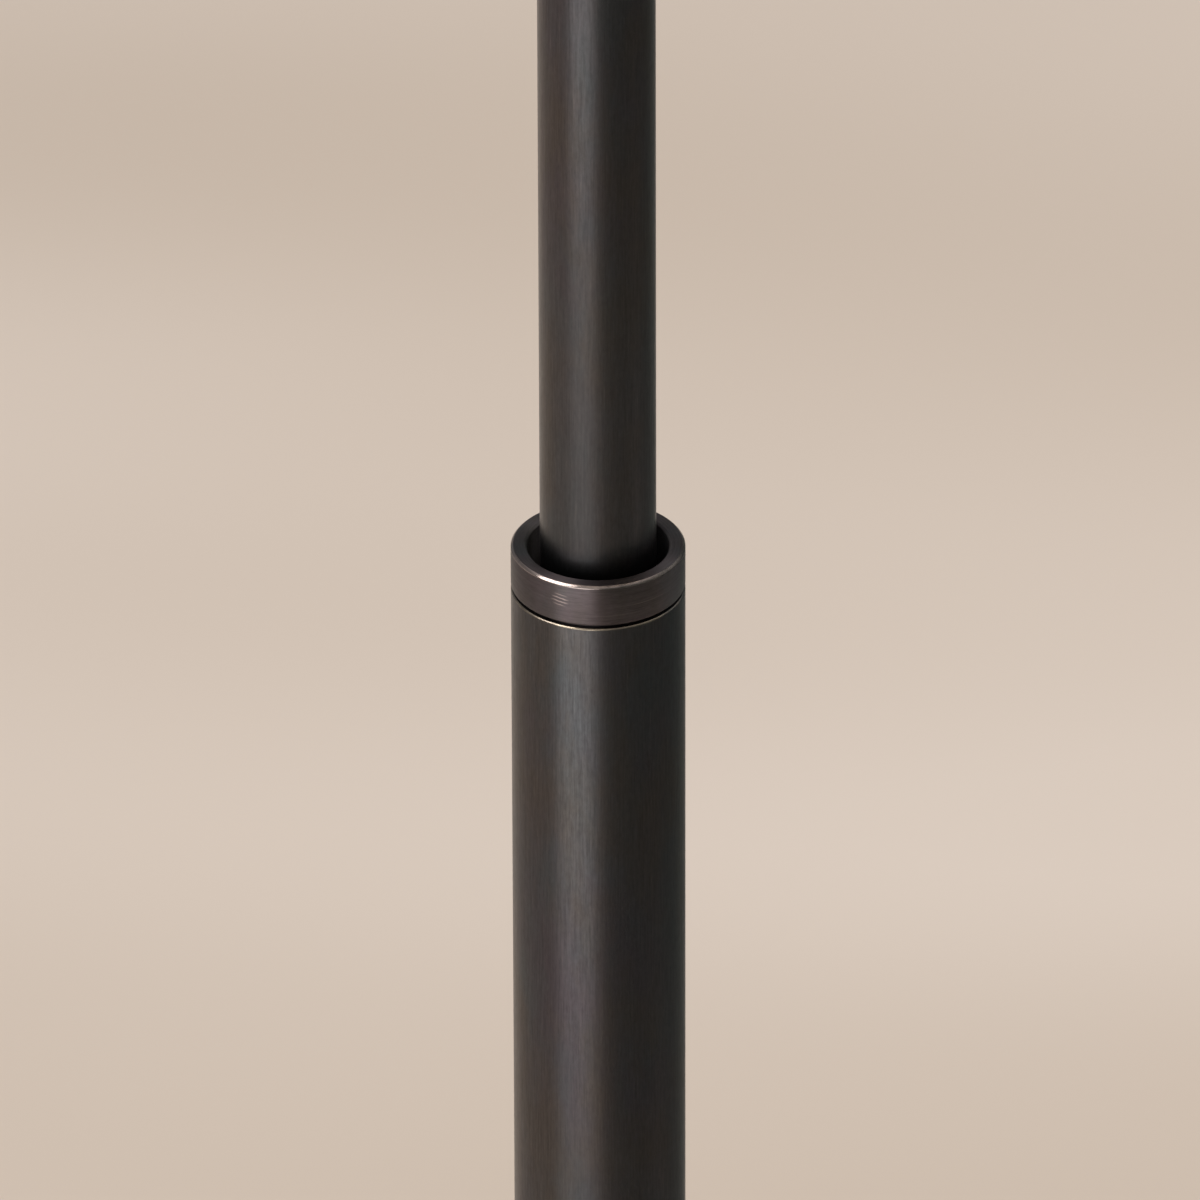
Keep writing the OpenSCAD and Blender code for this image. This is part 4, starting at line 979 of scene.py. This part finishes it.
# The switch knob
# Moulded in black urea resin with sixteen flutes for the fingers and a dished front. It is
# pressed on the zinc plated shaft of the switch.
FLUTES = 16
FLUTE_DEPTH = 0.42
FLUTE_SHAPE = ((0, 0.06, 1), (0.06, 0.18, 0.7))
KNOB_EDGE = 1.5
KNOB_EASE = 0.12
KNOB_DISH = 0.7
KNOB_DISH_R = 0.82
KNOB_FLOOR_R = 0.86
UREA = "#231e1b"
UREA_SCUFF = "#3a322d"
SCUFF_SIZE = 1.5

knob_r = (knob_high.z - knob_low.z) / 2 / MM
knob_l = (knob_high.y - knob_low.y) / MM
bpy.ops.mesh.primitive_circle_add(vertices=8 * FLUTES, radius=knob_r * MM, fill_type="NGON")
knob = opened()
pitch = 2 * math.pi / FLUTES
for low, high, share in FLUTE_SHAPE:
    select_where(knob, lambda p: low <= abs(math.atan2(p.y, p.x) % pitch / pitch - 0.5) < high)
    size = 1 - share * FLUTE_DEPTH / knob_r
    bpy.ops.transform.resize(value=(size, size, 1), center_override=(0, 0, 0))
bpy.ops.mesh.select_all(action="SELECT")
extruded(0, 0, knob_l - KNOB_EDGE)
extruded(0, 0, KNOB_EDGE)
bpy.ops.transform.resize(value=(1 - KNOB_EDGE / knob_r, 1 - KNOB_EDGE / knob_r, 1))
extruded(0, 0, 0)
bpy.ops.transform.tosphere(value=1)
bpy.ops.transform.resize(value=(KNOB_DISH_R, KNOB_DISH_R, 1), center_override=(0, 0, 0))
extruded(0, 0, -KNOB_DISH)
bpy.ops.transform.resize(value=(KNOB_FLOOR_R, KNOB_FLOOR_R, 1), center_override=(0, 0, 0))
closed_up()
eased(knob, KNOB_EASE, 2, 50)
moved(knob, (math.pi / 2, 0, 0), (0, knob_high.y / MM, knob_z))
# Moulded urea resin: a brownish black with a half gloss, lightly scuffed by fingers.
urea = mottled("moulded_urea_resin", (UREA, UREA_SCUFF), 0.32, SCUFF_SIZE, relief=0.01,
    noise={"Detail": 6.0, "Roughness": 0.7}, gloss=(0.22, 0.46), between=(0.5, 0.85))
finished(knob, "fluted_switch_knob", "switch_knob_body", "knob", urea, "switch_knob")

# The bulb
# Its cap is pressed from aluminium with a rolled thread, a black glass insulator and a soldered
# tip. The globe is blown glass with a shiny outside, frosted on its inside.
BULB_CAP_T = 0.4
BULB_CAP_RIM = 1
TIP_R = 4.75
TIP_H = 1.6
TIP_ROUND = (0.3, 0.6)
CONE_H = 4
CONE_ROUND = (0.8, 0.3)
GLASS_DOWN = 0.2
BULB_THREAD = 3.63
THREAD_ROLL = 0.55
THREAD_STEPS = 8
BULB_EASE = 0.1
GLASS_T = 0.8
NECK_R = 12.75
NECK_IN = 10
NECK_FLARE = (0.12, 0.6)
ALUMINIUM = "#cfcfcd"
ALUMINIUM_DULL = "#a9a9a6"
ALUMINIUM_CLOUD = 2.5
BLACK_GLASS = "#131216"
GLASS_RIPPLE = 2
SOLDER = "#a3a19c"
SOLDER_LUMP = 1.2
FROST = "#f1eee8"
FROST_THIN = "#dedad2"
FROST_CLOUD = 14

bulb_cap_r, bulb_z, bulb_cap_top = solid_of("bulb_cap")
cone_z = bulb_z + TIP_H + CONE_H
thread_h = bulb_cap_top - cone_z - 2 * BULB_CAP_RIM
rolls = []
for i in range(1, int(THREAD_STEPS * thread_h / BULB_THREAD)):
    roll = THREAD_ROLL * (1 - math.cos(2 * math.pi * i / THREAD_STEPS)) / 2
    rolls.append((bulb_cap_r - roll, cone_z + i / THREAD_STEPS * BULB_THREAD))
inside_r = bulb_cap_r - BULB_CAP_T - THREAD_ROLL
bulb_cap = spun([(0, bulb_z), (TIP_R - TIP_H, bulb_z),
    (TIP_R - TIP_ROUND[0], bulb_z + TIP_H * TIP_ROUND[1]), (TIP_R, bulb_z + TIP_H),
    (bulb_cap_r - CONE_ROUND[0], cone_z - CONE_ROUND[1]), (bulb_cap_r, cone_z)] + rolls
    + [(bulb_cap_r, bulb_cap_top - BULB_CAP_RIM), (bulb_cap_r, bulb_cap_top),
        (bulb_cap_r - BULB_CAP_T, bulb_cap_top), (inside_r, bulb_cap_top - 1.5 * BULB_CAP_RIM),
        (inside_r, cone_z), (0, cone_z)], 96, closed=False)
eased(bulb_cap, BULB_EASE, 2, 40)
# Pressed aluminium: a pale silvery gleam, duller in small clouds where it was handled.
aluminium = mottled("pressed_aluminium", (ALUMINIUM, ALUMINIUM_DULL), 0.28, ALUMINIUM_CLOUD, 1,
    noise={"Detail": 4.0}, gloss=(0.2, 0.4))
# Black glass keeps the shine and the soft ripples of the melt, and solder its dull lumps.
black_glass, tree, shader = material_of("fused_black_glass", BLACK_GLASS, 0.12)
place = add(tree, "TexCoord").outputs["Object"]
ripple = add(tree, "TexNoise", {"Vector": place, "Scale": 1 / (GLASS_RIPPLE * MM), "Detail": 2.0})
bumps(tree, shader, ripple, 0.08)
solder, tree, shader = material_of("tin_solder", SOLDER, 0.4, 1)
place = add(tree, "TexCoord").outputs["Object"]
lump = add(tree, "TexNoise", {"Vector": place, "Scale": 1 / (SOLDER_LUMP * MM), "Detail": 3.0})
bumps(tree, shader, lump, 0.2)
for material in (aluminium, black_glass, solder):
    bulb_cap.data.materials.append(material)
for face in bulb_cap.data.polygons:
    height = face.center.z / MM
    at_glass = height < cone_z - GLASS_DOWN
    face.material_index = 2 if height < bulb_z + TIP_H else 1 if at_glass else 0
finished(bulb_cap, "bulb_cap_rolled", "mast", "bulb_metal", aluminium, "bulb_cap")

globe_r, _, globe_top = solid_of("bulb_glass")
globe_z = globe_top - globe_r
lean = math.degrees(math.asin((globe_r - NECK_R) / (globe_z - bulb_cap_top)))
neck = [(NECK_R, bulb_cap_top - NECK_IN), (NECK_R, bulb_cap_top - BULB_CAP_RIM),
    (NECK_R + NECK_FLARE[0], bulb_cap_top + NECK_FLARE[1])]
globe = spun(neck + arc(0, globe_z, globe_r, -lean, 90, 40)[:-1]
    + [(0, globe_top), (0, globe_top - GLASS_T)]
    + arc(0, globe_z, globe_r - GLASS_T, 90, -lean, 40)[1:]
    + [(r - GLASS_T, z) for r, z in neck[::-1]], 128)
bpy.ops.object.shade_smooth_by_angle(angle=math.radians(40))
# Frosted glass: a milky warm white that lets light through, under the clear shine outside.
frost = mottled("blown_frosted_glass", (FROST, FROST_THIN), 0.35, FROST_CLOUD,
    noise={"Detail": 3.0}, gloss=(0.28, 0.42), Transmission_Weight=0.45, Coat_Weight=1.0,
    Coat_Roughness=0.04)
finished(globe, "blown_bulb_globe", "mast", "bulb_glass", frost, "bulb_glass")

# The spider and the rings of the shade
# Three wires are welded to a punched hub and to the ring in the shade's top edge. A second ring
# keeps the bottom edge round. All are steel wire in an aged nickel plating.
RING_WIRE_R = 1.5
WELD_AT = (0.8, 0.6)
WELD_REACH = 2.2
WELD_SWELL = 1.12
ARM_R = 1.25
ARM_BEND = 6
ARMS = 3
SPIDER_HUB_R = 11
SPIDER_HUB_T = 2
SPIDER_EASE = 0.25
HUB_HOLE_R = 3.375
HUB_RECESS_W = 2
HUB_RECESS = 0.4
NICKEL = "#8b857a"
NICKEL_DARK = "#625d54"
NICKEL_CLOUD = 5

# Aged nickel plate: a warm grey gleam, gone darker and duller in clouds.
nickel = mottled("aged_nickel_plate", (NICKEL, NICKEL_DARK), 0.34, NICKEL_CLOUD, 1,
    noise={"Detail": 5.0}, gloss=(0.26, 0.46), relief=0.03)


def welded_ring(name, node):
    """A round ring of wire, with a bead on its inside where its ends are welded."""
    outer, low, high = solid_of(node)
    z = (low + high) / 2
    bpy.ops.mesh.primitive_torus_add(location=(0, 0, z * MM), major_segments=240,
        minor_segments=20, major_radius=(outer - RING_WIRE_R) * MM,
        minor_radius=RING_WIRE_R * MM)
    ring = opened()
    weld = Vector((WELD_AT[0] * outer, WELD_AT[1] * outer, z))
    select_where(ring, lambda p: p.x > 0 and abs(p.y - weld.y) < WELD_REACH)
    bpy.ops.transform.resize(value=[WELD_SWELL] * 3, center_override=weld * MM)
    bpy.ops.object.mode_set(mode="OBJECT")
    bpy.ops.object.shade_smooth()
    finished(ring, name, "mast", "frame_wire", nickel, node)


welded_ring("welded_top_ring", "shade_top_ring")
welded_ring("welded_bottom_ring", "shade_bottom_ring")

ring_r, ring_low, ring_high = solid_of("shade_top_ring")
bend_r = ring_r - RING_WIRE_R - ARM_BEND
ring_z = (ring_low + ring_high) / 2
arm_z = spider_z + SPIDER_HUB_T / 2
arm_in = SPIDER_HUB_R - 2 * ARM_R
hub_top = spider_z + SPIDER_HUB_T
recess_r = HUB_HOLE_R + HUB_RECESS_W
hub = spun([(HUB_HOLE_R, spider_z), (SPIDER_HUB_R, spider_z), (SPIDER_HUB_R, hub_top),
    (recess_r + HUB_RECESS, hub_top), (recess_r, hub_top - HUB_RECESS),
    (HUB_HOLE_R, hub_top - HUB_RECESS)], 96)
eased(hub, SPIDER_EASE)
arms = []
for i in range(ARMS):
    arm = bent_wire((arm_in, 0, arm_z), (1, 0, 0), ARM_R, [
        (bend_r - arm_in, 0, 0),
        ((bend_r, 0, arm_z + ARM_BEND), 90),
        (0, 0, ring_z - arm_z - ARM_BEND)], 20)
    capped(arm)
    moved(arm, (0, 0, math.pi / 2 + 2 * math.pi * i / ARMS), (0, 0, 0))
    arms.append(arm)
joined(hub, *arms)
finished(hub, "welded_spider", "mast", "frame_wire", nickel, "shade_spider")

# The shade
# Oatmeal linen, laminated to a stiff white sheet, is rolled into a drum, lapped at the back and
# bound at both edges with folded linen tape. It is glued round the two rings.
SHADE_TOP_R = 165
SKIN_T = 0.5
GLUE_T = 0.05
LINER_T = 0.5
TAPE_T = 0.5
TAPE_H = 10
TAPE_GAP = 0.1
TAPE_EASE = 0.2
LAP_W = 11
LAP_T = 0.4
LAP_EASE = 0.12
STYRENE = "#efece4"
STYRENE_WARM = "#e3ded2"
STYRENE_CLOUD = 40
LINEN = "#d8ccb6"
LINEN_DARK = "#b9aa90"
LINEN_LIGHT = "#e6dcc9"
TAPE_COLOUR = "#cbbea6"
THREAD_PITCH = 0.9
SLUB_T = 2.2
SLUB_L = 60

skin_r, shade_z, shade_top = solid_of("shade_skin")
slant = (skin_r - SHADE_TOP_R) / (shade_top - shade_z)


def drum_r(z):
    """Outside radius of the shade's linen at height z."""
    return SHADE_TOP_R + (shade_top - z) * slant


def drum_wall(z0, z1, out, thickness):
    """Outline of a sloping wall that stands out from the linen by so much, or in if negative."""
    return [(drum_r(z0) + out - thickness, z0), (drum_r(z0) + out, z0), (drum_r(z1) + out, z1),
        (drum_r(z1) + out - thickness, z1)]


# Styrene sheet: smooth and white, a little warmer in wide patches where it has yellowed.
styrene = mottled("styrene_sheet", (STYRENE, STYRENE_WARM), 0.5, STYRENE_CLOUD,
    noise={"Detail": 4.0}, Transmission_Weight=0.08)
liner = spun(drum_wall(shade_z, shade_top, -SKIN_T - GLUE_T, LINER_T), 240)
bpy.ops.object.shade_smooth_by_angle(angle=math.radians(30))
finished(liner, "styrene_liner", "mast", "shade_lining", styrene, "shade_liner")


def linen(name, main, slub_share):
    """Plain woven linen: matt, with thick and thin threads both ways in light and dark slubs."""
    material, tree, shader = material_of(name, main, 0.85, Sheen_Weight=0.25)
    place = add(tree, "TexCoord").outputs["Object"]
    parts = add(tree, "SeparateXYZ", {"Vector": place}).outputs
    back = add(tree, "Math", {0: parts["Y"], 1: -1.0}, operation="MULTIPLY")
    turn = add(tree, "Math", {0: parts["X"], 1: back}, operation="ARCTAN2")
    girth = (SHADE_TOP_R + skin_r) / 2 * MM
    along = add(tree, "Math", {0: turn, 1: girth}, operation="MULTIPLY")
    cloth = add(tree, "CombineXYZ", {"X": along, "Y": parts["Z"]})
    warp, weft = [add(tree, "TexWave", {"Vector": cloth, "Distortion": 0.4,
        "Scale": WAVE_BAND / (THREAD_PITCH * MM)}, bands_direction=way).outputs["Fac"]
        for way in "XY"]
    weave = add(tree, "Math", {0: warp, 1: weft}, operation="ADD")
    marks = []
    for size in ((SLUB_T, SLUB_L), (SLUB_L, SLUB_T)):
        drawn = add(tree, "Mapping", {"Vector": cloth,
            "Scale": (1 / (size[0] * MM), 1 / (size[1] * MM), 1)})
        marks.append(add(tree, "TexNoise", {"Vector": drawn, "Scale": 1.0, "Detail": 3.0}))
    slubs = add(tree, "Math", {0: marks[0], 1: marks[1]}, operation="ADD")
    dark = add(tree, "MapRange", {"Value": slubs, "From Min": 1.02, "From Max": 1.3,
        "To Max": slub_share})
    light = add(tree, "MapRange", {"Value": slubs, "From Min": 0.98, "From Max": 0.7,
        "To Max": slub_share})
    first = add(tree, "MixRGB", {"Fac": dark, "Color1": linear(main), "Color2": linear(LINEN_DARK)})
    second = add(tree, "MixRGB", {"Fac": light, "Color1": first, "Color2": linear(LINEN_LIGHT)})
    height = add(tree, "Math", {0: slubs, 1: 0.8, 2: weave}, operation="MULTIPLY_ADD")
    link(tree, second, shader["Base Color"])
    bumps(tree, shader, height, 0.12)
    return material


oatmeal = linen("oatmeal_linen", LINEN, 0.85)
skin = spun(drum_wall(shade_z, shade_top, 0, SKIN_T), 240)
bpy.ops.object.shade_smooth_by_angle(angle=math.radians(30))
finished(skin, "linen_skin", "mast", "linen", oatmeal, "shade_skin")

lap_half = math.degrees(LAP_W / 2 / drum_r(shade_z))
lap = spun(drum_wall(shade_z + TAPE_H, shade_top - TAPE_H, LAP_T, LAP_T), 6, 2 * lap_half)
capped(lap)
eased(lap, LAP_EASE, 2, 40)
moved(lap, (0, 0, math.pi / 2 - math.radians(lap_half)), (0, 0, 0))
finished(lap, "linen_lap", "mast", "linen", oatmeal)

tape = linen("linen_tape", TAPE_COLOUR, 0.4)


def bound_edge(name, node, edge, way):
    """A folded tape that binds one edge of the shade: a band outside and a lip over the edge."""
    band = edge - way * TAPE_H
    lip = edge + way * TAPE_GAP
    tip = lip + way * TAPE_T
    inside = SKIN_T + GLUE_T + LINER_T
    out = TAPE_GAP + TAPE_T
    outline = [(drum_r(band) + TAPE_GAP, band), (drum_r(band) + out, band),
        (drum_r(tip) + out, tip), (drum_r(tip) - inside, tip), (drum_r(lip) - inside, lip),
        (drum_r(lip) + TAPE_GAP, lip)]
    piece = spun(outline if way > 0 else outline[::-1], 240)
    eased(piece, TAPE_EASE, 3, 40)
    return finished(piece, name, "mast", "linen_trim", tape, node)


top_tape = bound_edge("top_tape", "shade_top_trim", shade_top, 1)
bottom_tape = bound_edge("bottom_tape", "shade_bottom_trim", shade_z, -1)

# The finial
# Turned from brass bar: a flat foot, a drawn-in neck and a ball, threaded for the stud. It
# screws down on the spider and has the finish of the stem.
FINIAL_FOOT_R = 6
FINIAL_FOOT_T = 1
FINIAL_CONE = (0.8, 2)
FINIAL_WAIST_R = 4.175
FINIAL_EASE = 0.15
BALL_R = 7.5

_, finial_z, finial_top = solid_of("finial")
foot_top = finial_z + FINIAL_FOOT_T
ball_z = finial_top - BALL_R
low_angle = -math.degrees(math.acos(FINIAL_WAIST_R / BALL_R))
finial = spun([(0, finial_z), (FINIAL_FOOT_R, finial_z), (FINIAL_FOOT_R, foot_top),
    (FINIAL_WAIST_R + FINIAL_CONE[0], foot_top + 0.7 * FINIAL_CONE[1]),
    (FINIAL_WAIST_R, foot_top + FINIAL_CONE[1])]
    + arc(0, ball_z, BALL_R, low_angle, 90, 36), 128, closed=False)
eased(finial, FINIAL_EASE, 3, 35)
finished(finial, "turned_finial", "mast", "bronze_turned", turned_bronze, "finial")
